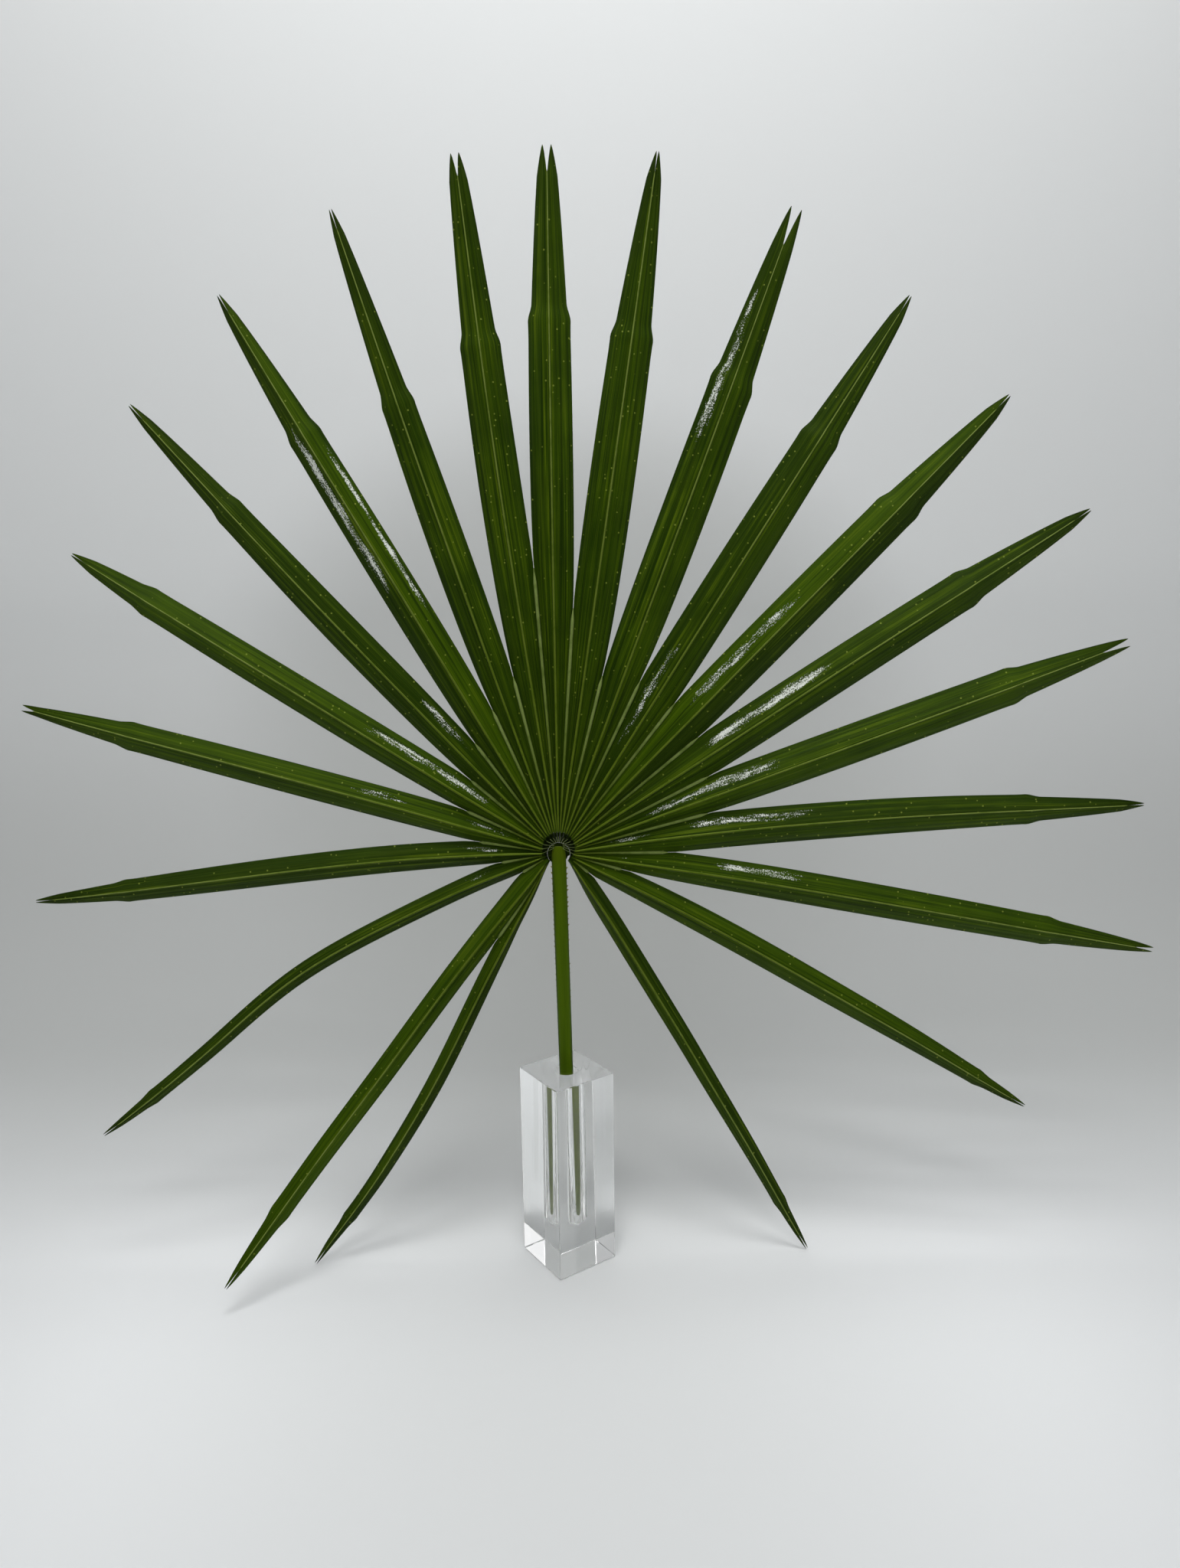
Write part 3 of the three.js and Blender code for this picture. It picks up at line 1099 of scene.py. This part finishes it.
@dataclass
class Blade:
    """One leaflet between its two seams.

    Sizes are millimetres. Columns run from the left margin over the ridge to the right one.
    """

    number: int
    leaflet: Leaflet
    before: Seam
    after: Seam
    root_radius: float = 6.5
    gap: float = 0.3  # between neighbours
    root_gap: float = 0.04  # the same, near the head
    setback: float = 2.2  # how far behind the hub the margins lie
    setback_ease: float = 25.0
    thickness: float = 0.5
    margin_thickness: float = 0.32
    columns: int = 12
    bulge: float = 0.05
    ripple: float = 0.09
    ripples: float = 2.2  # across each half
    root_slope: float = 55.0  # degrees, of each half
    free_slope: float = 23.0
    slope_ease: float = 45.0
    width_ease: float = 40.0  # over which a free margin reaches its own width
    neck_ease: float = 70.0  # over which the width shrinks to the shoulder
    swell: float = 0.35  # of the margin just before the shoulder
    taper: float = 0.7
    drop: float = 0.87  # share of the neck's width left beyond the shoulder

    @property
    def name(self) -> str:
        """Name of the leaflet's CAD node."""
        return f"leaflet_{self.number:02d}"

    def axis_way(self, r: float) -> float:
        """Direction of the midrib at a distance."""
        return splayed(catmull_rom(self.leaflet.way, r / self.leaflet.reach), r)

    def _free_half(self, r: float, side: Side) -> float:
        """Half width where the leaflet is free of its neighbours.

        Args:
            r: Distance from the hub.
            side: Which half.

        Returns:
            The half width.
        """
        leaf = self.leaflet
        shoulder = leaf.shoulder + leaf.uneven * side.value / 2
        full = leaf.width / 2
        notch = smooth(shoulder - 5, shoulder + 2.5, r)
        swell = self.swell * fade(abs(r - shoulder + 6), 4)
        narrowing = (1 - leaf.neck) * fade(max(0.0, shoulder - r), self.neck_ease)
        inner = full * (1 - narrowing) + swell
        to_tip = min(1.0, max(0.0, (leaf.reach - r) / (leaf.reach - shoulder)))
        outer = full * mix(leaf.blunt, leaf.neck * self.drop, to_tip**self.taper)
        return mix(inner, outer, notch)

    def _half(self, seam: Seam, r: float, side: Side) -> float:
        """Half width towards one seam, fused up to where the neighbours part.

        Args:
            seam: The seam.
            r: Distance from the hub.
            side: Which half.

        Returns:
            The half width.
        """

        def fused(at: float) -> float:
            """Distance from the midrib to the seam."""
            return at * math.sin(math.radians(abs(splayed(seam.way, at) - self.axis_way(at))))

        if r <= seam.parts_at:
            return fused(r) - mix(self.root_gap / 2, self.gap / 2, smooth(11, 18, r))
        surplus = fused(seam.parts_at) - self.gap / 2 - self._free_half(seam.parts_at, side)
        return self._free_half(r, side) + surplus * fade(r - seam.parts_at, self.width_ease)

    def section(self, r: float) -> Section:
        """Cross-section at a distance.

        Args:
            r: Distance from the hub.

        Returns:
            The section.
        """
        left = self._half(self.before, r, Side.LEFT)
        right = self._half(self.after, r, Side.RIGHT)
        free = max(self.before.parts_at, self.after.parts_at)
        lean = max(0.0, (r - free) / (self.leaflet.reach - free)) ** 2 * self.leaflet.forward
        margin = HUB.y + self.setback * (1 - fade(r, self.setback_ease)) - lean
        slope = math.radians(mix(self.free_slope, self.root_slope, fade(r, self.slope_ease)))
        ridge = margin - (left + right) / 2 * math.tan(slope)
        return Section(self.axis_way(r), left, right, margin, ridge)

    def point(self, r: float, share: float) -> Vector:
        """Point of the front surface.

        Args:
            r: Distance from the hub.
            share: Place across, from -1 at the left margin to 1 at the right one.

        Returns:
            The point, in millimetres.
        """
        cut = self.section(r)
        half = cut.left if share < 0 else cut.right
        way = cut.way - math.degrees(math.asin(half * share / r))
        across = abs(share)
        arch = 4 * across * (1 - across)
        phase = self.number * 1.7 + (0.9 if share < 0 else 0.0)
        wave = math.sin(2 * math.pi * self.ripples * across + phase + r * 0.006)
        flutter = self.ripple * wave * math.sqrt(max(0.0, arch)) * smooth(8, 40, r)
        rise = half * self.bulge * arch + flutter
        return about_hub(r, way, mix(cut.ridge, cut.margin, across) - rise)

    def gloss_and_glint(self, r: float, share: float) -> float:
        """How strong the painted glint and the coat's gloss are at a place on the blade.

        Args:
            r: Distance from the hub.
            share: Place across, from -1 at the left margin to 1 at the right one.

        Returns:
            The strength, from 0 for none to about 1.
        """
        thickness = 0.0
        for run in GLINT_RUNS.get(self.number, ()):
            across = max(0.0, 1 - ((share - run.place) / run.width) ** 2)
            begun = smooth(run.start - 14, run.start + 12, r)
            ended = smooth(run.end - 18, run.end + 14, r)
            thickness = max(thickness, across * (begun * (1 - ended)) * run.thickness)
        return thickness

    def stations(self) -> list[float]:
        """Distances of the cross-sections up to where the tip splits.

        Returns:
            The distances, closest together at the head and at the shoulder.
        """
        shoulder, split = self.leaflet.shoulder, self.leaflet.reach - self.leaflet.split
        near = [self.root_radius, 7.4, 8.5, 10, 12, 14.5, 17.5, 21, 25, 30, 36]
        middle = [42 + 6 * i for i in range(60) if 42 + 6 * i < shoulder - 10]
        notch = [shoulder - 9 + 1.5 * i for i in range(13)]
        taper = [mix(shoulder + 9, split, i / 7) for i in range(1, 8)]
        return sorted(r for r in {*near, *middle, *notch, *taper} if r <= split)

    def midrib_line(self) -> list[Vector]:
        """Line of the midrib's centre, a little behind the ridge's surface.

        Returns:
            The line's points, in millimetres.
        """
        split = self.leaflet.reach - self.leaflet.split
        stops = [r for r in self.stations() if r >= 10.0] + [split + 1, split + 3]
        line = []
        for r in stops:
            cut = self.section(min(r, split))
            line.append(about_hub(r, cut.way, cut.ridge + 0.18))
        return line

    def _front(self) -> tuple[list[Vector], list[tuple[float, float]], list[Quad]]:
        """Front surface, from the root to the two points of the tip.

        Returns:
            Its points, their shares in the grain map, and its faces.
        """
        count = self.columns
        shares = [i / count for i in range(-count, count + 1)]
        front: list[Vector] = []
        grain: list[tuple[float, float]] = []
        faces: list[Quad] = []

        def add_row(points: Sequence[Vector], across: Sequence[float], r: float) -> list[int]:
            """Adds a row of points.

            Args:
                points: The points.
                across: Each point's place across, from -1 to 1.
                r: The row's distance from the hub.

            Returns:
                The points' places in the list.
            """
            first = len(front)
            front.extend(points)
            grain.extend(((s + 1) / 2, r / LONGEST_REACH) for s in across)
            return list(range(first, len(front)))

        def bridge(low: Sequence[int], high: Sequence[int]) -> None:
            """Fills the strip between two rows."""
            faces.extend(zip(low, low[1:], high[1:], high))

        stations = self.stations()
        rows = [add_row([self.point(r, s) for s in shares], shares, r) for r in stations]
        for low, high in zip(rows, rows[1:]):
            bridge(low, high)

        last, reach = rows[-1], self.leaflet.reach
        tip = self.section(reach - 1)
        for side, half in ((Side.LEFT, slice(0, count + 1)), (Side.RIGHT, slice(count, None))):
            turn = -side.value * math.degrees(self.leaflet.fork / 2 / reach)
            point = about_hub(reach, tip.way + turn, tip.margin)
            low = last[half]
            base = [front[i].copy() for i in low]
            middle = base[len(base) // 2]
            for step in (0.2, 0.4, 0.6, 0.8, 0.92, 0.99):
                spine, left_over = middle.lerp(point, step), (1 - step) ** 0.7
                points = [spine + (p - middle) * left_over for p in base]
                high = add_row(points, shares[half], stations[-1] + self.leaflet.split * step)
                bridge(low, high)
                low = high
        return front, grain, faces

    def mesh(self) -> bpy.types.Mesh:
        """Makes the blade with its forked tip, grain map, tone and painted glint.

        Returns:
            The mesh.
        """
        front, grain, faces = self._front()
        back = []
        for p, (s, _) in zip(front, grain):
            thickness = mix(self.thickness, self.margin_thickness, abs(2 * s - 1) ** 3)
            back.append(p + Vector((0.0, thickness, 0.0)))
        points, shell = closed_sheet(front, faces, back)
        mesh = mesh_of(f"{self.name}_blade", points, shell)
        map_grain(mesh, grain * 2)
        chance = random.Random(self.number)
        left, right = chance.random(), chance.random()
        tones = [mix(left, right, smooth(0.49, 0.51, s)) for s, _ in grain]
        tone = mesh.attributes.new(TONE, "FLOAT", "POINT")
        tone.data.foreach_set("value", tones * 2)
        # painted highlight: where the white glints and the coat's gloss lie
        glint_values = [self.gloss_and_glint(along * LONGEST_REACH, 2 * s - 1) for s, along in grain]
        gloss_and_glint = mesh.attributes.new(GLOSS_AND_GLINT, "FLOAT", "POINT")
        gloss_and_glint.data.foreach_set("value", glint_values + [0.0] * len(back))
        return mesh


@dataclass
class FanLeaf:
    """The fan: leaflets, their midribs and the ribs along the seams. Sizes in millimetres."""

    midrib_radius: float = 0.72
    midrib_tip: float = 0.3
    midrib_waist: float = 0.11  # share of the rib over which it reaches its radius
    midrib_sides: int = 10
    thread: float = 0.09
    thread_ways: tuple[float, float] = (-12, 192)  # only ribs between these cross the hollow
    thread_steps: int = 8
    rib_root: float = 0.42
    seam_radius: float = 0.72
    seam_end: float = 1.0
    seam_waist: float = 22.0
    seam_blunt: float = 2.2
    seam_points: int = 24
    seam_sides: int = 12
    hollow: float = 9.0

    def blades(self) -> list[Blade]:
        """The leaflets between their seams."""
        pairs = zip(LEAFLETS, SEAMS, SEAMS[1:])
        return [Blade(i + 1, leaf, before, after) for i, (leaf, before, after) in enumerate(pairs)]

    def _thread_in(self, line: list[Vector], way: float) -> list[Vector]:
        """Carries a rib inwards over the hollow to the eye above the stalk.

        Args:
            line: The rib's line, from its root outwards.
            way: The rib's direction in degrees.

        Returns:
            The longer line; a low rib is left as it is.
        """
        if not self.thread_ways[0] < way < self.thread_ways[1]:
            return line
        start, count = line[0], self.thread_steps
        towards = Vector((start.x, EYE.y, start.z)) - EYE
        inner = EYE + towards.normalized() * 2.6 + Vector((0.0, 0.0, 1.2))
        steps = [inner.lerp(start, i / count) for i in range(count)]
        for i, point in enumerate(steps):
            point.y = mix(EYE.y, start.y, (i / count) ** 1.5)
        return steps + line

    def _thread_share(self, line: Sequence[Vector]) -> float:
        """Share of a line's length that lies within the hollow round the eye.

        Args:
            line: The line's points.

        Returns:
            The share, from 0 to 1.
        """
        length = inside = 0.0
        for a, b in zip(line, line[1:]):
            length += (b - a).length
            centre = (a + b) / 2 - EYE
            if math.hypot(centre.x, centre.z) < self.hollow:
                inside = length
        return inside / length

    def seam_start(self, seam: Seam) -> float:
        """Distance from the hub at which a seam leaves the hollow round the eye.

        Args:
            seam: The seam.

        Returns:
            The distance.
        """
        r = 9.5
        while (about_hub(r, splayed(seam.way, r), EYE.y) - EYE).length < self.hollow + 0.3:
            r += 0.2
        return r

    def seam_line(self, index: int, blades: Sequence[Blade]) -> list[Vector]:
        """Line of the rib along one seam, in the valley between two leaflets.

        Args:
            index: Which seam.
            blades: All leaflets.

        Returns:
            The line's points, in millimetres.
        """
        seam = SEAMS[index]
        end = seam.parts_at - (2.0 + 3.0 * random.Random(100 + index).random())
        first, last = self.seam_start(seam), self.seam_points - 1
        stops = [first + (end - first) * (i / last) ** 1.3 for i in range(self.seam_points)]
        left, right = blades[index - 1], blades[index]
        line = []
        for r in stops:
            margin = (left.section(r).margin + right.section(r).margin) / 2
            lift = mix(0.15, 0.5, smooth(10, end, r))
            line.append(about_hub(r, splayed(seam.way, r), margin - lift))
        return line

    def build(self) -> None:
        """Builds every piece of the fan."""
        finish = BladeFinish().material()
        midrib = RibFinish("midrib", colour(82, 98, 22), colour(112, 126, 60)).material()
        seam = RibFinish("seam_rib", colour(82, 98, 24), colour(122, 138, 76)).material()
        tree = rib_tree()
        blades = self.blades()
        for blade in blades:
            mesh = blade.mesh()
            mesh.materials.append(finish)
            join_frame(linked(f"{blade.name}_blade", mesh), [blade.name])
            self._grow_midrib(blade, tree, midrib)
        for i in range(1, len(SEAMS) - 1):
            self._grow_seam(i, blades, tree, seam)

    def _grow_midrib(
        self, blade: Blade, tree: bpy.types.NodeTree, finish: bpy.types.Material
    ) -> None:
        """Grows one leaflet's midrib.

        Args:
            blade: The leaflet.
            tree: The tree that sweeps a rib.
            finish: The rib's material.
        """
        name = f"midrib_{blade.number:02d}"
        line = self._thread_in(blade.midrib_line(), blade.leaflet.way[0])
        sizes = {
            "Thread Radius": self.thread * MM,
            "Thread Share": self._thread_share(line),
            "Root Radius": self.rib_root * MM,
            "Waist Radius": self.midrib_radius * MM,
            "End Radius": self.midrib_tip * MM,
            "Waist": self.midrib_waist,
            "Blunt Share": 0.01,
            "Sides": self.midrib_sides,
            "Material": finish,
        }
        join_frame(grow(name, line_mesh(name, line), tree, sizes))

    def _grow_seam(
        self,
        index: int,
        blades: Sequence[Blade],
        tree: bpy.types.NodeTree,
        finish: bpy.types.Material,
    ) -> None:
        """Grows the rib along one seam.

        Args:
            index: Which seam.
            blades: All leaflets.
            tree: The tree that sweeps a rib.
            finish: The rib's material.
        """
        name = f"seam_rib_{index:02d}"
        line = self.seam_line(index, blades)
        length = sum((b - a).length for a, b in zip(line, line[1:]))
        sizes = {
            "Thread Radius": 0.0,
            "Thread Share": -1.0,
            "Root Radius": self.rib_root * MM,
            "Waist Radius": self.seam_radius * MM,
            "End Radius": self.seam_end * MM,
            "Waist": min(0.6, self.seam_waist / length),
            "Blunt Share": self.seam_blunt / length,
            "Sides": self.seam_sides,
            "Material": finish,
        }
        join_frame(grow(name, line_mesh(name, line), tree, sizes))


# ---- The stalk ----


@dataclass
class Stalk:
    """The leaf stalk from its cut foot to its rounded head. Sizes in millimetres."""

    mouth: Vector = Vector((0.0, 1.0, 120.0))
    foot: float = 26.2
    half_foot: float = 3.7
    half_mouth: float = 4.0
    half_neck: float = 4.15
    half_depth: float = 2.45
    head_radius: float = 6.1
    head_sides: int = 48
    # Share of the head's radius and distance towards the back, from its back to its front.
    head_profile: tuple[tuple[float, float], ...] = (
        (0.3, 1.15),
        (0.75, 1.3),
        (0.97, 1.0),
        (1.0, 0.3),
        (0.97, -0.5),
        (0.8, -0.75),
        (0.45, -0.35),
        (0.1, -0.2),
    )
    pleats: int = 20
    pleat_depth: float = 0.22
    tongue: float = 4.6  # how far the stalk's rounded end reaches above the hub
    tongue_rings: int = 9
    sides: int = 40
    flutes: int = 9
    flute_depth: float = 0.012
    eased: float = 0.94  # share of its size left at the cut foot
    teeth: int = 34
    teeth_from: float = 132.0
    teeth_to: float = 246.0
    tooth_length: float = 1.35
    tooth_radius: float = 0.8
    tooth_tip: float = 0.06
    tooth_tilt: float = 62.0  # degrees

    def centre(self, z: float) -> Vector:
        """Centre of the stalk at a height."""
        t = (z - self.mouth.z) / (HUB.z - self.mouth.z)
        return Vector((mix(self.mouth.x, HUB.x, t), mix(self.mouth.y, HUB.y, max(0.0, t)), z))

    def half_width(self, z: float) -> float:
        """Half the stalk's width at a height.

        Args:
            z: The height.

        Returns:
            The half width.
        """
        mouth = self.mouth.z
        if z < mouth:
            return mix(self.half_foot, self.half_mouth, (z - self.foot) / (mouth - self.foot))
        return mix(self.half_mouth, self.half_neck, (z - mouth) / (HUB.z - mouth))

    @staticmethod
    def _loft(
        name: str, rings: Sequence[Sequence[Vector]], alongs: Sequence[float]
    ) -> bpy.types.Mesh:
        """Closed mesh through rings of equal length, with a grain map round and along it.

        Args:
            name: The mesh's name.
            rings: The rings' points, in millimetres.
            alongs: Share along, for each ring.

        Returns:
            The mesh.
        """
        count = len(rings[0])
        points = [p for ring in rings for p in ring]
        mesh = mesh_of(name, points, ring_faces(len(rings), count))
        map_grain(mesh, [(j / count, along) for along in alongs for j in range(count)])
        return mesh

    def _ring(self, z: float, swell: float, depth: float) -> list[Vector]:
        """Ring of the stalk: arched front, flatter back and faint lengthwise flutes.

        Args:
            z: Its height.
            swell: Share of the stalk's width there.
            depth: Share of the stalk's depth.

        Returns:
            The ring's points, in millimetres.
        """
        centre, half, deep = self.centre(z), self.half_width(z) * swell, self.half_depth * depth
        ring = []
        for j in range(self.sides):
            turn = 2 * math.pi * j / self.sides
            flute = 1 + self.flute_depth * math.sin(self.flutes * turn + 0.02 * z)
            across = math.copysign(abs(math.cos(turn)) ** 0.9, math.cos(turn))
            rise = math.sin(turn) * (0.86 if math.sin(turn) > 0 else 1.0)
            ring.append(centre + Vector((half * across * flute, deep * rise * flute, 0.0)))
        return ring

    def build(self) -> None:
        """Builds the stalk, its head and its two rows of teeth."""
        finish = StalkFinish().material()
        top, shoulder = HUB.z + self.tongue, HUB.z - 2
        heights = [self.foot, self.foot + 0.5]
        heights += [mix(self.foot + 1, shoulder, i / 70) for i in range(71)]
        rings = [self._ring(self.foot, self.eased, self.eased)]
        rings += [self._ring(z, 1.0, 1.0) for z in heights[1:]]
        for i in range(1, self.tongue_rings + 1):
            t = i / self.tongue_rings
            heights.append(mix(shoulder, top, math.sin(t * math.pi / 2)))
            round_off = math.sqrt(max(0.0, 1 - t**2)) * 0.94 + 0.06
            rings.append(self._ring(heights[-1], round_off, mix(1.0, 0.45, t)))
        span = top - self.foot
        stalk = self._loft("petiole_stalk", rings, [(z - self.foot) / span for z in heights])
        stalk.materials.append(finish)
        join_frame(linked("petiole_stalk", stalk), ["petiole"])
        self._build_head()
        self._build_teeth(finish)

    def _build_head(self) -> None:
        """Builds the dish of tissue that the leaflets spring from, painted dark for the shade in
        the hollow.
        """
        rings = []
        for share, y in self.head_profile:
            ring = []
            for j in range(self.head_sides):
                turn = 2 * math.pi * j / self.head_sides
                pleat = self.pleat_depth * share * math.sin(self.pleats * turn)
                low = 0.84 if math.sin(turn) < -0.2 and math.cos(turn) > 0 else 1.0
                reach = (self.head_radius + 0.3) * share * low
                place = (reach * math.cos(turn), y + pleat, reach * math.sin(turn))
                ring.append(HUB + Vector(place))
            rings.append(ring)
        head = self._loft("leaf_head", rings, [share for share, _ in self.head_profile])
        head.materials.append(HollowFinish().material())
        join_frame(linked("leaf_head", head))

    def _build_teeth(self, finish: bpy.types.Material) -> None:
        """Grows a row of teeth on each edge of the stalk.

        Args:
            finish: The stalk's material.
        """
        tree = teeth_tree()
        for side in Side:
            name = f"petiole_teeth_{side.name.lower()}"
            chance = random.Random(20 + side.value)
            places = []
            for i in range(self.teeth):
                share = (i + 0.5 * chance.random()) / self.teeth
                z = mix(self.teeth_from, self.teeth_to, share)
                edge = side.value * (self.half_width(z) - 0.35)
                places.append(self.centre(z) + Vector((edge, -0.3, 0.0)))
            sizes = {
                "Tilt": side.value * math.radians(self.tooth_tilt),
                "Tilt Spread": math.radians(14),
                "Length": self.tooth_length * MM,
                "Base Radius": self.tooth_radius * MM,
                "Tip Radius": self.tooth_tip * MM,
                "Thickness": 0.55,
                "Smallest": 0.35,
                "Seed": 5 + side.value,
                "Material": finish,
            }
            join_frame(grow(name, line_mesh(name, places), tree, sizes))


# ---- The block ----


@dataclass
class AcrylicBlock:
    """The drilled block that holds the leaf. Sizes in millimetres, turn and slope in degrees."""

    side: float = 40.0
    height: float = 120.0
    turn: float = 35.0
    chamfer: float = 0.5
    bore_radius: float = 6.5
    bore_floor: float = 27.0
    drill_slope: float = 31.0
    bore_sides: int = 96
    mouth_ease: float = 0.35
    flat_area: float = 0.0001  # square metres; larger faces are flat, the rest are rounded
    crease: float = 35.0  # degrees

    def _outline(self, z: float) -> list[Vector]:
        """Corners of the block's square at a height.

        Args:
            z: The height.

        Returns:
            The four corners, counter-clockwise from above.
        """
        turn, half = Matrix.Rotation(math.radians(self.turn), 3, "Z"), self.side / 2
        corners = ((-1, -1), (1, -1), (1, 1), (-1, 1))
        return [turn @ Vector((x * half, y * half, z)) for x, y in corners]

    def _body(self) -> bpy.types.Mesh:
        """Solid block before its edges are eased.

        Returns:
            The mesh.
        """
        points = self._outline(0.0) + self._outline(self.height)
        faces = [(3, 2, 1, 0), (4, 5, 6, 7)]
        faces += [(i, (i + 1) % 4, (i + 1) % 4 + 4, i + 4) for i in range(4)]
        return mesh_of("vase_block", points, faces)

    def _drill(self) -> bpy.types.Mesh:
        """Space the drill takes away: a cone, a straight wall and an eased mouth.

        Returns:
            The mesh.
        """
        tip = self.bore_floor - self.bore_radius * math.tan(math.radians(self.drill_slope))
        wall, mouth = self.bore_radius, self.bore_radius + self.mouth_ease
        profile = (
            (0.25, tip + 0.1),
            (wall - 0.3, self.bore_floor - 0.18),
            (wall, self.bore_floor + 0.25),
            (wall, self.height - self.mouth_ease),
            (mouth, self.height),
            (mouth, self.height + 2),
        )
        points = []
        for radius, z in profile:
            for j in range(self.bore_sides):
                turn = 2 * math.pi * j / self.bore_sides
                points.append(Vector((radius * math.cos(turn), radius * math.sin(turn), z)))
        return mesh_of("drill", points, ring_faces(len(profile), self.bore_sides))

    def build(self) -> None:
        """Builds the block: edges eased, then drilled."""
        block = linked("vase_block_clear", self._body())
        drill = linked("drill", self._drill())
        eased = block.modifiers.new("eased", "BEVEL")
        eased.width, eased.segments, eased.limit_method = self.chamfer * MM, 3, "ANGLE"
        drilled = block.modifiers.new("drilled", "BOOLEAN")
        drilled.object, drilled.solver = drill, "EXACT"
        evaluated = block.evaluated_get(bpy.context.evaluated_depsgraph_get())
        mesh = bpy.data.meshes.new_from_object(evaluated)
        block.modifiers.clear()
        block.data = mesh
        bpy.data.objects.remove(drill)
        mesh.set_sharp_from_angle(angle=math.radians(self.crease))
        for face in mesh.polygons:
            face.use_smooth = face.area < self.flat_area
        mesh.materials.clear()
        mesh.materials.append(AcrylicFinish().material())
        join_frame(block, ["vase_block"])


# ---- Studio ----


@dataclass(frozen=True)
class Lamp:
    """A rectangular soft light: its place, the point it faces, its width and height, its watts."""

    name: str
    place: tuple[float, float, float]
    aim: tuple[float, float, float]
    size: tuple[float, float]
    power: float

    def hang(self) -> None:
        """Hangs the light, out of the camera's sight."""
        lamp = bpy.data.lights.new(self.name, "AREA")
        lamp.shape = "RECTANGLE"
        (lamp.size, lamp.size_y), lamp.energy = self.size, self.power
        holder = bpy.data.objects.new(self.name, lamp)
        holder.location = self.place
        ahead = Vector(self.aim) - Vector(self.place)
        holder.rotation_euler = ahead.to_track_quat("-Z", "Y").to_euler()
        holder.visible_camera = False
        bpy.context.scene.collection.objects.link(holder)


# The two panels light the block's polished faces from the sides.
LAMPS = (
    Lamp("key", (0.0, -0.35, 1.6), (0.0, -0.1, 0.3), (0.5, 0.3), 9.0),
    Lamp("front", (-0.1, -1.1, 1.45), (0.0, 0.0, 0.3), (0.6, 0.2), 7.0),
    Lamp("ceiling", (0.05, -0.3, 2.3), (0.05, -0.2, 0.0), (2.6, 2.2), 9.0),
    Lamp("wall_top", (0.05, 0.15, 1.5), (0.05, 0.62, 1.0), (1.6, 0.3), 3.5),
    Lamp("right_panel", (1.14, -0.5, 0.83), (0.0, 0.0, 0.0), (0.5, 0.5), 0.67),
    Lamp("left_panel", (-1.17, 0.42, 0.84), (0.0, 0.0, 0.0), (0.5, 0.5), 0.2),
)


@dataclass
class Studio:
    """Backdrop, lights and camera, in metres and degrees."""

    wall: float = 0.62
    curve: float = 0.35
    curve_steps: int = 16
    width: float = 6.0
    top: float = 3.2
    front: float = -3.4
    clearance: float = 0.0003  # the paper lies this far under what stands on it
    sky: Colour = colour(226, 228, 230)
    sky_strength: float = 0.21
    eye: tuple[float, float, float] = (0.0162, -0.6305, 0.427)
    pitch: float = 12.08  # down
    roll: float = 0.75
    lens: float = 26.53  # millimetres, as is the sensor
    sensor: float = 36.0
    bounces: int = 28  # light crosses the block's faces and its bore many times
    glossy_bounces: int = 20

    def build(self) -> None:
        """Builds the studio."""
        self._backdrop()
        for lamp in LAMPS:
            lamp.hang()
        self._world()
        self._camera()

    def _backdrop(self) -> None:
        """Lays one sweep of paper: floor, curve and wall."""
        profile = [(self.front, 0.0), (-0.6, 0.0), (0.0, 0.0)]
        start = self.wall - self.curve
        for i in range(self.curve_steps + 1):
            turn = math.pi / 2 * i / self.curve_steps
            away, up = self.curve * math.sin(turn), self.curve * (1 - math.cos(turn))
            profile.append((start + away, up))
        profile.append((self.wall, self.top))
        sides = (-self.width / 2, self.width / 2)
        points = [Vector((x, y, z - self.clearance)) / MM for y, z in profile for x in sides]
        faces = [(2 * i, 2 * i + 1, 2 * i + 3, 2 * i + 2) for i in range(len(profile) - 1)]
        sheet = mesh_of("backdrop", points, faces, 60.0)
        sheet.materials.append(PaperFinish().material())
        linked("backdrop", sheet)

    def _world(self) -> None:
        """Fills the studio with an even grey light."""
        world = bpy.data.worlds.new("studio")
        bpy.context.scene.world = world
        world.use_nodes = True
        nodes = Nodes(world.node_tree)
        sockets = {"Color": self.sky, "Strength": self.sky_strength}
        sky = nodes.add("ShaderNodeBackground", {}, sockets)
        nodes.add("ShaderNodeOutputWorld", {}, {"Surface": sky.outputs[0]})

    def _camera(self) -> None:
        """Sets the camera in front of the leaf, looking a little down on the block."""
        camera = bpy.data.cameras.new("camera")
        camera.lens, camera.sensor_width = self.lens, self.sensor
        camera.clip_start, camera.clip_end = 0.01, 20.0
        holder = bpy.data.objects.new("camera", camera)
        pitch, roll = math.radians(self.pitch), math.radians(self.roll)
        level = Vector((1.0, 0.0, 0.0))
        ahead = Vector((0.0, math.cos(pitch), -math.sin(pitch)))
        down = Vector((0.0, -math.sin(pitch), -math.cos(pitch)))
        right = level * math.cos(roll) + down * math.sin(roll)
        up = ahead.cross(right) * -1
        turned = Matrix((right, up, ahead * -1)).transposed().to_4x4()
        holder.matrix_world = Matrix.Translation(self.eye) @ turned
        scene = bpy.context.scene
        scene.collection.objects.link(holder)
        scene.camera = holder
        scene.view_settings.view_transform = "Standard"
        scene.cycles.max_bounces = scene.cycles.transmission_bounces = self.bounces
        scene.cycles.glossy_bounces = self.glossy_bounces


def main() -> None:
    """Builds the studio, the block, the stalk and the fan."""
    for part in (Studio(), AcrylicBlock(), Stalk(), FanLeaf()):
        log.info("building %s", type(part).__name__)
        part.build()
    bpy.context.view_layer.update()


if __name__ == "__main__":
    main()
